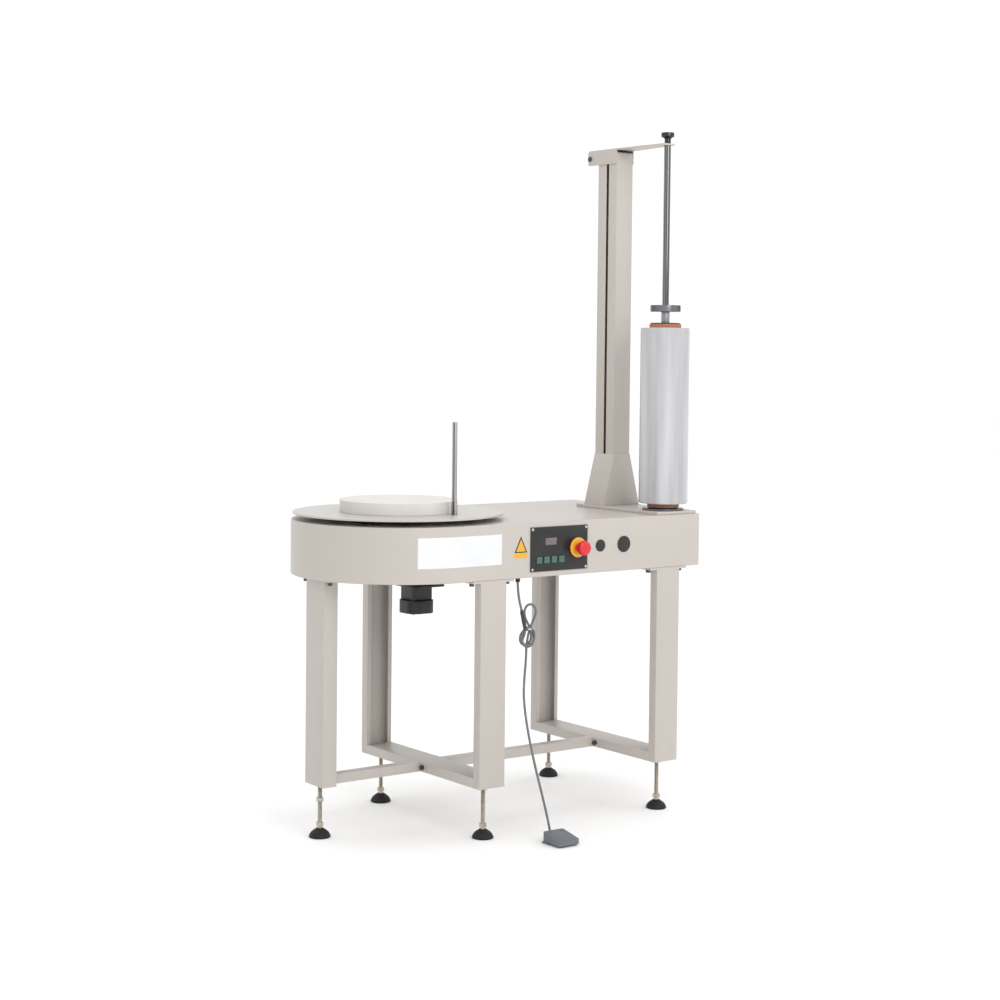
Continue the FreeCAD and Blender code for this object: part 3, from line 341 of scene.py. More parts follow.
CREAM = Finish("cream_powder_coat", Look.POWDER, (0.468, 0.430, 0.396), "cream_paint", 0.42, 0.10)
DISC_CREAM = Finish("disc_powder_coat", Look.POWDER, (0.450, 0.422, 0.396), "cream_paint", 0.36, 0.15)
RISER = Finish("riser_board", Look.MOULDED, (0.660, 0.635, 0.600), "riser_board", 0.52)
BLACK_PAINT = Finish("black_machine_paint", Look.POWDER, (0.010, 0.010, 0.011), "dark_paint", 0.46, 0.05)
DARK_CHROME = Finish("dark_chrome_plate", Look.CHROME, (0.055, 0.055, 0.065), "chrome", 0.20)
COLLAR = Finish("collar_steel", Look.BRUSHED, (0.22, 0.225, 0.24), "chrome", 0.26)
TURNED = Finish("turned_steel", Look.BRUSHED, (0.30, 0.30, 0.31), "chrome", 0.26)
ZINC = Finish("zinc_plate", Look.ZINC, (0.50, 0.50, 0.49), "zinc_steel", 0.34)
BLACK_BOLT = Finish("blackened_bolt", Look.ZINC, (0.120, 0.105, 0.095), "zinc_steel", 0.42)
FOOT_RUBBER = Finish("foot_rubber", Look.RUBBER, (0.004, 0.004, 0.005), "black_rubber", 0.66)
BELT_RUBBER = Finish("belt_rubber", Look.RUBBER, (0.016, 0.016, 0.016), "black_rubber", 0.62)
PANEL_BLACK = Finish("panel_black", Look.MOULDED, (0.007, 0.007, 0.008), "black_plastic", 0.38)
PLUG_BLACK = Finish("plug_black", Look.MOULDED, (0.010, 0.010, 0.011), "black_plastic", 0.40)
KEY_TEAL = Finish("key_teal", Look.MOULDED, (0.035, 0.110, 0.078), "teal_plastic", 0.30, 0.3)
STOP_YELLOW = Finish("stop_yellow", Look.MOULDED, (0.800, 0.390, 0.030), "yellow_plastic", 0.30, 0.3)
STOP_RED = Finish("stop_red", Look.MOULDED, (0.600, 0.006, 0.016), "red_plastic", 0.30, 0.3)
SIGN_YELLOW = Finish("sign_yellow", Look.MOULDED, (0.740, 0.370, 0.012), "yellow_plastic", 0.42)
DISPLAY = Finish("display_window", Look.GLASS, (0.130, 0.100, 0.115), "black_plastic", 0.10, 0.5)
LABEL = Finish("label_vinyl", Look.MOULDED, (0.700, 0.705, 0.720), "film", 0.38)
KRAFT = Finish("kraft_core", Look.CARD, (0.380, 0.160, 0.080), "kraft_card", 0.70)
FILM = Finish("stretch_film", Look.FILM, (0.465, 0.460, 0.475), "film", 0.20, 0.45)
CHUCK = Finish("chuck_plastic", Look.MOULDED, (0.020, 0.020, 0.020), "black_plastic", 0.42)
PEDAL_GREY = Finish("pedal_grey", Look.MOULDED, (0.125, 0.140, 0.165), "grey_plastic", 0.44)
CORD_GREY = Finish("cord_grey", Look.RUBBER, (0.130, 0.130, 0.135), "cord_sheath", 0.50)
CORD_DARK = Finish("cord_dark", Look.RUBBER, (0.030, 0.030, 0.032), "cord_sheath", 0.50)
TIE = Finish("hank_tie_white", Look.MOULDED, (0.560, 0.560, 0.550), "cord_sheath", 0.40)
STUD = Finish("stud_plate", Look.ZINC, (0.50, 0.46, 0.38), "zinc_steel", 0.36)
# both polished bars carry painted reflection bands in their colour
REFLECTION_BANDED = Finish("reflection_banded_chrome", Look.REFLECTION_BANDED, (0.70, 0.70, 0.71), "chrome", 0.14)
POST_CHROME = Finish("post_chrome", Look.REFLECTION_BANDED, (0.42, 0.42, 0.43), "chrome", 0.18)
DARK_STEEL = Finish("dark_steel", Look.BRUSHED, (0.17, 0.17, 0.18), "dark_paint", 0.34)


# ---- shapes ----
def moved_verts(result: dict) -> list:
    """The vertices in a bmesh operator's result."""
    return [g for g in result["geom"] if isinstance(g, bmesh.types.BMVert)]


class Axis(Enum):
    """The way a turned piece's own upward axis points."""

    UP = (0.0, 0.0, 1.0)
    FRONT = (0.0, -1.0, 0.0)

    def matrix(self) -> Matrix:
        """Returns: the turn that takes +Z to this axis."""
        return Vector((0.0, 0.0, 1.0)).rotation_difference(Vector(self.value)).to_matrix().to_4x4()


class Form:
    """A mesh in the making."""

    def __init__(self) -> None:
        """Starts with nothing."""
        self.bm = bmesh.new()

    def _new(self, before: set) -> list:
        """The vertices added since before was taken."""
        return [v for v in self.bm.verts if v not in before]

    def block(self, low: Vector, high: Vector, soft: float = 0.0, segments: int = 3) -> "Form":
        """Adds a box between two corners, its edges rounded by soft."""
        before = set(self.bm.verts)
        bmesh.ops.create_cube(self.bm, size=1.0)
        verts = self._new(before)
        bmesh.ops.scale(self.bm, vec=high - low, verts=verts)
        bmesh.ops.translate(self.bm, vec=(high + low) / 2, verts=verts)
        if soft:
            self._bevel({e for v in verts for e in v.link_edges}, soft, segments)
        return self

    def turned(
        self,
        profile: Sequence[Pair],
        foot: Vector,
        axis: Axis = Axis.UP,
        steps: int = 72,
        ring: bool = False,
    ) -> "Form":
        """Spins a profile round an axis.

        Args:
            profile: radius and height pairs, in millimetres, from the foot.
            foot: the point the heights are measured from, in metres.
            axis: which way the heights go.
            steps: how many steps the full turn has.
            ring: closes the profile on itself.

        Returns:
            This form.
        """
        before = set(self.bm.verts)
        verts = [self.bm.verts.new((r * MM, 0.0, z * MM)) for r, z in profile]
        pairs = list(zip(verts, verts[1:])) + ([(verts[-1], verts[0])] if ring else [])
        edges = [self.bm.edges.new(pair) for pair in pairs]
        bmesh.ops.spin(
            self.bm, geom=verts + edges, cent=(0, 0, 0), axis=(0, 0, 1), dvec=(0, 0, 0),
            angle=2 * math.pi, steps=steps, use_merge=True, use_duplicate=False,
        )
        made = self._new(before)
        bmesh.ops.remove_doubles(self.bm, verts=made, dist=1e-6)
        made = self._new(before)
        bmesh.ops.recalc_face_normals(self.bm, faces=list({f for v in made for f in v.link_faces}))
        bmesh.ops.transform(self.bm, matrix=Matrix.Translation(foot) @ axis.matrix(), verts=made)
        return self

    def prism(self, outline: Sequence[Vector], along: Vector) -> "Form":
        """Extrudes a flat outline along a vector."""
        before = set(self.bm.verts)
        face = self.bm.faces.new([self.bm.verts.new(p) for p in outline])
        out = bmesh.ops.extrude_face_region(self.bm, geom=[face], use_keep_orig=True)
        bmesh.ops.translate(self.bm, vec=along, verts=moved_verts(out))
        made = self._new(before)
        bmesh.ops.recalc_face_normals(self.bm, faces=list({f for v in made for f in v.link_faces}))
        return self

    def _bevel(self, edges: Iterable, width: float, segments: int) -> None:
        """Rounds the given edges."""
        bmesh.ops.bevel(
            self.bm, geom=list(edges), offset=width, offset_type="OFFSET", segments=segments,
            profile=0.5, affect="EDGES", clamp_overlap=True, material=-1,
        )

    def soften(self, width: float, segments: int = 3, angle: float = 32.0,
               where: Optional[Callable[[bmesh.types.BMEdge], bool]] = None) -> "Form":
        """Rounds each edge that is sharper than an angle.

        Args:
            width: the bevel's width in millimetres.
            segments: how many facets it has.
            angle: the least angle between two faces, in degrees.
            where: an extra test on the edge.

        Returns:
            This form.
        """
        limit = math.radians(angle)
        picked = [
            e for e in self.bm.edges
            if len(e.link_faces) == 2 and e.calc_face_angle(0.0) > limit and (where is None or where(e))
        ]
        self._bevel(picked, width * MM, segments)
        return self

    def from_node(self, node: str) -> "Form":
        """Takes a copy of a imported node's mesh, with its triangles joined up."""
        self.bm.from_mesh(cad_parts[node].data)
        bmesh.ops.remove_doubles(self.bm, verts=self.bm.verts, dist=1e-6)
        bmesh.ops.dissolve_limit(
            self.bm, angle_limit=math.radians(0.4), verts=self.bm.verts, edges=self.bm.edges,
        )
        return self

    def piece(self, name: str, body: str, finish: Finish, stands_for: Sequence[str] = (),
              crease: float = 38.0) -> bpy.types.Object:
        """Finishes the form.

        Args:
            name: the piece's name.
            body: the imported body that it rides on.
            finish: its finish.
            stands_for: the nodes that it replaces.
            crease: faces at less than this angle are shaded as one curve.

        Returns:
            The object.
        """
        mesh = bpy.data.meshes.new(name)
        self.bm.to_mesh(mesh)
        self.bm.free()
        mesh.shade_smooth()
        mesh.set_sharp_from_angle(angle=math.radians(crease))
        mesh.materials.append(finish.material())
        made = bpy.data.objects.new(name, mesh)
        bpy.context.scene.collection.objects.link(made)
        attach(made, body)
        if stands_for:
            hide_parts(*stands_for)
        LOG.info("made %s: %d faces", name, len(mesh.polygons))
        return made


@dataclass(frozen=True)
class Spot:
    """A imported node's box, in metres."""

    node: str

    @property
    def low(self) -> Vector:
        """The lowest corner."""
        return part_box(self.node)[0]

    @property
    def high(self) -> Vector:
        """The highest corner."""
        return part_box(self.node)[1]

    @property
    def centre(self) -> Vector:
        """The middle."""
        return (self.low + self.high) / 2

    @property
    def foot(self) -> Vector:
        """The middle of the underside."""
        return Vector((self.centre.x, self.centre.y, self.low.z))

    def radius(self) -> float:
        """Half the width along X, in millimetres."""
        return (self.high.x - self.low.x) / 2 / MM

    def height(self) -> float:
        """The height in millimetres."""
        return (self.high.z - self.low.z) / MM


def folded(node: str, body: str, finish: Finish, width: float = 1.2, segments: int = 2,
           angle: float = 32.0) -> bpy.types.Object:
    """A sheet part with its folds and cut edges rounded.

    Args:
        node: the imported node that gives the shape.
        body: the body that it rides on.
        finish: its finish.
        width: the rounding in millimetres.
        segments: facets in the rounding.
        angle: edges flatter than this stay.

    Returns:
        The object.
    """
    form = Form().from_node(node).soften(width, segments, angle)
    return form.piece("%s_shape" % node, body, finish, [node])


def rounded_profile(points: Sequence[Pair], radius: float, steps: int = 4) -> list[Pair]:
    """Rounds the inner corners of a profile.

    Args:
        points: radius and height pairs.
        radius: how far back each corner is cut.
        steps: facets in a corner.

    Returns:
        The new pairs.
    """
    out = [points[0]]
    for before, corner, after in zip(points, points[1:], points[2:]):
        here = Vector(corner)
        to_first, to_second = Vector(before) - here, Vector(after) - here
        reach = min(radius, to_first.length * 0.45, to_second.length * 0.45)
        start = here + to_first.normalized() * reach
        end = here + to_second.normalized() * reach
        for i in range(steps + 1):
            t = i / steps
            spot = start * (1 - t) ** 2 + here * 2 * t * (1 - t) + end * t * t
            out.append((spot.x, spot.y))
    out.append(points[-1])
    return out


def tube(bore: float, wide: float, low: float, high: float) -> list[Pair]:
    """The section of a plain tube between two heights."""
    return [(bore, low), (wide, low), (wide, high), (bore, high)]


# ---- sub-assemblies ----
@dataclass
class Cords:
    """The foot pedal's cord: gland, upper lead, inline connector, tied hank and lower lead."""

    thickness: float = 0.0064
    upper: tuple = (
        (0.2090, -0.2640, 0.6780), (0.2094, -0.2650, 0.6580), (0.2084, -0.2705, 0.6380),
        (0.2075, -0.2775, 0.6200), (0.2100, -0.2810, 0.6050),
    )
    lower: tuple = (
        (0.2350, -0.2710, 0.5040), (0.2280, -0.2800, 0.4740), (0.2110, -0.2950, 0.4240),
        (0.2000, -0.3070, 0.3720), (0.2000, -0.3260, 0.2910), (0.2080, -0.3480, 0.2030),
        (0.2220, -0.3660, 0.1180), (0.2340, -0.3720, 0.0640), (0.2385, -0.3790, 0.0250),
    )
    origin: Vector = field(default_factory=lambda: Vector((0.2725, -0.0835, 0.0)))
    lead_in: tuple = ((0.2230, -0.2815, 0.5510), (0.2215, -0.2820, 0.5410))
    bow: tuple = (
        (0.2500, -0.2720, 0.5480), (0.2410, -0.2690, 0.5640), (0.2345, -0.2650, 0.5800),
        (0.2325, -0.2630, 0.5970), (0.2400, -0.2620, 0.6110), (0.2530, -0.2620, 0.6160),
        (0.2660, -0.2620, 0.6110), (0.2725, -0.2630, 0.5980), (0.2690, -0.2650, 0.5830),
        (0.2580, -0.2680, 0.5690), (0.2470, -0.2700, 0.5510), (0.2390, -0.2710, 0.5290),
        (0.2350, -0.2710, 0.5040),
    )
    ring_middle: tuple = (0.2330, -0.2800, 0.5290)
    ring_radius: float = 0.0207
    ring_straight: float = 0.0016
    radius_drift: float = 0.0012
    straight_drift: float = 0.0012
    side_drift: float = 0.0034
    deep_drift: float = 0.0034
    drop_drift: float = 0.0026
    turns: float = 2.5
    turn_points: int = 12
    plug_ends: tuple = ((0.210, -0.281, 0.605), (0.223, -0.2815, 0.551))
    plug_radius: float = 5.4
    groove_radius: float = 4.8
    grip_rings: int = 4
    tie_middle: tuple = (0.2445, -0.2720, 0.5510)
    tie_half: tuple = (0.0105, 0.0085, 0.0023)

    def _curve(self, name: str, points: Sequence[Vector]) -> bpy.types.Object:
        """One open, smooth line with a round section."""
        data = bpy.data.curves.new(name, "CURVE")
        data.dimensions = "3D"
        data.bevel_depth = self.thickness / 2
        data.bevel_resolution = 4
        data.resolution_u = 10
        data.use_fill_caps = True
        spline = data.splines.new("NURBS")
        spline.points.add(len(points) - 1)
        for knot, point in zip(spline.points, points):
            knot.co = (*point, 1.0)
        spline.order_u = 3
        spline.use_endpoint_u = True
        data.materials.append(CORD_GREY.material())
        made = bpy.data.objects.new(name, data)
        bpy.context.scene.collection.objects.link(made)
        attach(made, "frame")
        LOG.info("made %s: %d points", name, len(points))
        return made

    def route(self, points: Sequence[tuple[float, float, float]]) -> list[Vector]:
        """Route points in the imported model's frame."""
        return [Vector(p) - self.origin for p in points]

    def hank_points(self) -> list[Vector]:
        """The tied hank: uneven turns in a lower ring, then one loop that bows up through the tie."""
        middle = Vector(self.ring_middle)
        ring = []
        for i in range(int(self.turns * self.turn_points)):
            lap = i / self.turn_points
            a = math.pi + 2 * math.pi * (i + 0.5) / self.turn_points
            radius = self.ring_radius + self.radius_drift * (1 - math.cos(2.6 * lap))
            straight = self.ring_straight + self.straight_drift * math.sin(2.1 * lap)
            straight = math.copysign(straight, math.sin(a))
            drift = Vector((
                self.side_drift * math.sin(1.7 * lap),
                self.deep_drift * lap,
                self.drop_drift * math.sin(2.9 * lap),
            ))
            ring.append(middle + drift + Vector((radius * math.cos(a), 0.0, radius * math.sin(a) + straight)))
        return self.route(self.lead_in) + [p - self.origin for p in ring] + self.route(self.bow)

    def build(self) -> None:
        """Makes each cord and the pieces on it."""
        top = self._curve("lead_upper", self.route(self.upper))
        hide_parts("cord_upper")
        plug = self.connector()
        low = self._curve("lead_lower", self.route(self.lower))
        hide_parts("cord_lower")
        hank_line = self.hank_points()
        hank = self._curve("lead_hank", hank_line)
        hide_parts("cord_hank")
        long = sum((b - a).length for a, b in zip(hank_line, hank_line[1:]))
        self.tie()
        self.gland()

    def connector(self) -> bpy.types.Object:
        """The inline coupling, with grip rings and a taper at each end."""
        start, end = (Vector(p) - self.origin for p in self.plug_ends)
        long = (end - start).length / MM
        r, groove = self.plug_radius, self.groove_radius
        profile = [(0.0, 0.0), (3.6, 0.0), (4.4, 5.0), (r, 8.0)]
        for i in range(self.grip_rings):
            z = 12.0 + i * 4.0
            profile += [(r, z), (groove, z + 0.8), (groove, z + 1.6), (r, z + 2.4)]
        profile += [(r, long - 9.0), (4.6, long - 4.0), (3.6, long), (0.0, long)]
        form = Form().turned(profile, Vector((0, 0, 0)), steps=40)
        turn = Vector((0, 0, 1)).rotation_difference(end - start).to_matrix().to_4x4()
        bmesh.ops.transform(form.bm, matrix=Matrix.Translation(start) @ turn, verts=form.bm.verts)
        return form.piece("lead_connector", "frame", CORD_DARK, ["cord_connector"])

    def tie(self) -> bpy.types.Object:
        """The strap round the middle of the hank."""
        middle = Vector(self.tie_middle) - self.origin
        half = Vector(self.tie_half)
        return Form().block(middle - half, middle + half, 0.0016).piece("hank_tie", "frame", TIE)

    def gland(self) -> bpy.types.Object:
        """The cord gland: its nut, a domed cap and the collar through the sheet."""
        return folded("cord_gland", "frame", PLUG_BLACK, 0.7, 3)


@dataclass
class Table:
    """The long table: shell, plate and labels."""

    top_round: float = 3.2
    sheet: float = 2.5
    flange: float = 42.0
    arc_steps: int = 72
    label_heights: Pair = (0.731, 0.811)
    label_straight: float = 0.136
    label_arc: float = 0.118
    sign_from: float = 0.052
    sign_to: float = 0.010
    sign_low: float = 0.759
    sign_high: float = 0.803
    sign_rim: float = 0.0052

    def build(self) -> None:
        """Makes the table's pieces."""
        self.shell()
        folded("deck_plate", "frame", CREAM, 1.2, 3)
        self.name_label()
        self.sign()

    def shell(self) -> bpy.types.Object:
        """The folded shell: an outline with one round end, drawn down to its skirt and bottom fold."""
        skirt, deck = Spot("table_skirt"), Spot("table_deck")
        radius = (skirt.high.y - skirt.low.y) / 2
        middle = (skirt.high.y + skirt.low.y) / 2
        pivot = Vector((Spot("turntable_disc").centre.x, middle, deck.high.z))
        form = Form()
        bm = form.bm
        seed = bm.verts.new(pivot + Vector((0.0, -radius, 0.0)))
        bmesh.ops.spin(bm, geom=[seed], cent=pivot, axis=(0, 0, 1), dvec=(0, 0, 0), angle=-math.pi,
                       steps=self.arc_steps, use_duplicate=False)
        ends = [v for v in bm.verts if len(v.link_edges) == 1]
        ends.sort(key=lambda v: v.co.y)
        near = bm.verts.new((skirt.high.x, middle - radius, deck.high.z))
        far = bm.verts.new((skirt.high.x, middle + radius, deck.high.z))
        for pair in ((ends[0], near), (near, far), (far, ends[1])):
            bm.edges.new(pair)
        bmesh.ops.contextual_create(bm, geom=bm.edges[:])
        top = bm.faces[:][0]
        if top.normal.z < 0:
            top.normal_flip()
        out = bmesh.ops.extrude_face_region(bm, geom=[top], use_keep_orig=True)
        bmesh.ops.translate(bm, vec=(0, 0, skirt.low.z - deck.high.z), verts=moved_verts(out))
        bmesh.ops.recalc_face_normals(bm, faces=bm.faces[:])
        bottom = min(bm.faces, key=lambda f: f.calc_center_median().z)
        bmesh.ops.inset_region(bm, faces=[bottom], thickness=self.flange * MM, use_even_offset=True)
        bmesh.ops.delete(bm, geom=[bottom], context="FACES_ONLY")
        form.soften(
            self.top_round, 4, 60.0, lambda e: len([f for f in e.link_faces if abs(f.normal.z) > 0.5]) < 2,
        )
        bmesh.ops.solidify(bm, geom=bm.faces[:], thickness=self.sheet * MM)
        return form.piece("table_shell", "frame", CREAM, ["table_skirt", "table_deck"])

    def name_label(self) -> bpy.types.Object:
        """A blank label on the front, following the skirt round its curve."""
        skirt = Spot("table_skirt")
        pivot = Spot("turntable_disc").centre
        radius = (skirt.high.y - skirt.low.y) / 2 + 0.0003
        low, high = self.label_heights
        form = Form()
        verts = [form.bm.verts.new((pivot.x + x, pivot.y - radius, low)) for x in (self.label_straight, 0.0)]
        form.bm.edges.new(verts)
        bmesh.ops.spin(form.bm, geom=[verts[1]], cent=pivot, axis=(0, 0, 1), dvec=(0, 0, 0),
                       angle=-self.label_arc / radius, steps=16, use_duplicate=False)
        out = bmesh.ops.extrude_edge_only(form.bm, edges=form.bm.edges[:])
        bmesh.ops.translate(form.bm, vec=(0, 0, high - low), verts=moved_verts(out))
        bmesh.ops.recalc_face_normals(form.bm, faces=form.bm.faces[:])
        if form.bm.faces[:][0].normal.y > 0:
            bmesh.ops.reverse_faces(form.bm, faces=form.bm.faces[:])
        return form.piece("name_label", "frame", LABEL)

    def sign(self) -> bpy.types.Object:
        """A plain yellow triangle over a short strip, with nothing printed on it."""
        panel = Spot("control_panel")
        y = Spot("table_skirt").low.y
        x0, x1 = panel.low.x - self.sign_from, panel.low.x - self.sign_to
        middle = (x0 + x1) / 2
        back = Form()
        z0, z1 = self.sign_low, self.sign_high
        border = [Vector((x0, y, z0)), Vector((x1, y, z0)), Vector((middle, y, z1))]
        back.prism(border, Vector((0, -0.0003, 0)))
        back.piece("sign_border", "frame", PANEL_BLACK)
        form = Form()
        x2, x3 = x0 + self.sign_rim, x1 - self.sign_rim
        inner = [Vector((x2, y, z0 + 0.003)), Vector((x3, y, z0 + 0.003)), Vector((middle, y, z1 - 0.008))]
        form.prism(inner, Vector((0, -0.0006, 0)))
        form.block(Vector((x0 - 0.002, y - 0.0004, z0 - 0.014)), Vector((x1 + 0.002, y, z0 - 0.002)))
        return form.piece("yellow_sign", "frame", SIGN_YELLOW)


@dataclass
class Frame:
    """Legs, bars, braces, their bolts and the five levelling feet."""

    thread_pitch: float = 2.0
    stud_radius: float = 6.0
    hex_radius: float = 10.9
    hex_foot: float = 30.0
    hex_height: float = 10.0
    pad_height: float = 24.0
    thread_foot: float = 42.0
    thread_depth: float = 0.8

    def build(self) -> None:
        """Makes the frame's pieces."""
        for node in ("leg_end", "leg_a_rear", "leg_a_front", "leg_b_rear", "leg_b_front", "bar_a", "bar_b"):
            folded(node, "frame", CREAM, 1.1, 2)
        for node in ("brace_left", "brace_right"):
            folded(node, "frame", CREAM, 0.8, 2)
        folded("frame_bolts", "frame", BLACK_BOLT, 0.6, 2)
        folded("foot_nuts", "frame", ZINC, 0.7, 2)
        for index in range(1, 6):
            self.foot(index)

    def foot(self, index: int) -> None:
        """One foot: a rubber pad with a tapering top and a threaded stud with a hexagon."""
        box = Spot("levelling_foot_%d" % index)
        r, top = box.radius(), self.pad_height
        pad = [(0.0, 0.0), (r - 1.5, 0.0), (r, 1.2), (r, 5.5), (r - 1.2, 7.0), (r - 2.0, 9.5),
               (r - 5.5, 14.5), (r - 11.0, 19.0), (r - 16.0, 22.0), (r - 17.5, top), (0.0, top)]
        Form().turned(rounded_profile(pad, 1.0, 3), box.foot).piece(
            "foot_pad_%d" % index, "frame", FOOT_RUBBER, ["levelling_foot_%d" % index])
        high = box.height()
        stud, z = self.stud_radius, self.thread_foot
        thread = [(0.0, top), (stud, top), (stud, z)]
        while z < high - self.thread_pitch:
            thread += [(stud, z), (stud - self.thread_depth, z + self.thread_pitch / 2)]
            z += self.thread_pitch
        thread += [(stud, z), (stud - 1.0, high), (0.0, high)]
        form = Form().turned(thread, box.foot, steps=24)
        corners = [math.radians(60 * i) for i in range(6)]
        hexagon = [(self.hex_radius * math.cos(a), self.hex_radius * math.sin(a)) for a in corners]
        base = box.foot + Vector((0, 0, self.hex_foot * MM))
        outline = [base + Vector((x * MM, y * MM, 0)) for x, y in hexagon]
        form.prism(outline, Vector((0, 0, self.hex_height * MM)))
        form.piece("foot_stud_%d" % index, "frame", STUD)


@dataclass
class Turntable:
    """Disc, riser, film post, and the drive under the deck."""

    edge: float = 1.4
    riser_wall: float = 3.0
    post_r: float = 6.5
    socket_bore: float = 6.55
    socket_r: float = 8.5
    socket_height: float = 36.0
    screw_way: float = 0.028
    screw_drop: float = 0.0025

    def build(self) -> None:
        """Makes the turntable's pieces."""
        disc = Spot("turntable_disc")
        r, h = disc.radius(), disc.height()
        profile = rounded_profile(tube(0, r, 0, h), self.edge)
        form = Form().turned(profile, disc.foot, steps=160)
        form.piece("disc", "turntable", DISC_CREAM, ["turntable_disc"])
        self.riser()
        self.post()
        folded("turntable_hub", "turntable", BLACK_PAINT, 0.8)
        for node in ("bearing_housing", "motor_bracket"):
            folded(node, "frame", BLACK_PAINT, 0.8)
        folded("drive_belt", "frame", BELT_RUBBER, 0.6)
        folded("drive_pulley", "drive", ZINC, 0.6)
        folded("driven_pulley", "turntable", ZINC, 0.6)
        folded("glide_pads", "frame", CHUCK, 0.6)
        self.motor()

    def riser(self) -> None:
        """The light drum that lifts the load off the disc."""
        box = Spot("load_riser")
        r, h = box.radius(), box.height()
        bore, under = r - self.riser_wall, h - self.riser_wall
        profile = rounded_profile([(bore, 0), (r, 0), (r, h), (0, h)], 2.0) + [(0, under), (bore, under)]
        form = Form().turned(profile, box.foot, steps=120, ring=True)
        form.piece("riser_drum", "turntable", RISER, ["load_riser"])

    def post(self) -> None:
        """The bright film post in its socket, with painted reflection bands along it."""
        box = Spot("film_post")
        h = box.height()
        pin = rounded_profile(tube(0, self.post_r, 0, h), 1.5)
        socket = rounded_profile(tube(self.socket_bore, self.socket_r, 0, self.socket_height), 0.7)
        form = Form().turned(pin, box.foot, steps=48)
        form.turned(socket, box.foot, steps=48, ring=True)
        form.piece("post_and_socket", "turntable", POST_CHROME, ["film_post"])

    def motor(self) -> None:
        """The square gearmotor with its end cap and cap screws."""
        form = Form().from_node("gearmotor").soften(1.6, 3)
        form.piece("gearmotor_shape", "frame", BLACK_PAINT, ["gearmotor"])
        box = Spot("gearmotor")
        screws = Form()
        middle, z = box.centre, box.low.z - self.screw_drop
        for x in (-self.screw_way, self.screw_way):
            for y in (-self.screw_way, self.screw_way):
                spot = Vector((middle.x + x, middle.y + y, z))
                screws.turned(rounded_profile(tube(0, 3.5, 0, 3), 0.8, 2), spot, steps=24)
        screws.piece("motor_screws", "frame", ZINC)


@dataclass
class Column:
    """Column, boot, cap, pin and swing arm."""

    def build(self) -> None:
        """Makes the column's pieces."""
        folded("column_post", "frame", CREAM, 1.1, 3)
        folded("column_boot", "frame", CREAM, 0.9, 2)
        folded("column_cap", "frame", CREAM, 0.6, 2)
        folded("arm_pin", "frame", BLACK_BOLT, 0.6, 2)
        folded("swing_arm", "arm", CREAM, 0.8, 3)


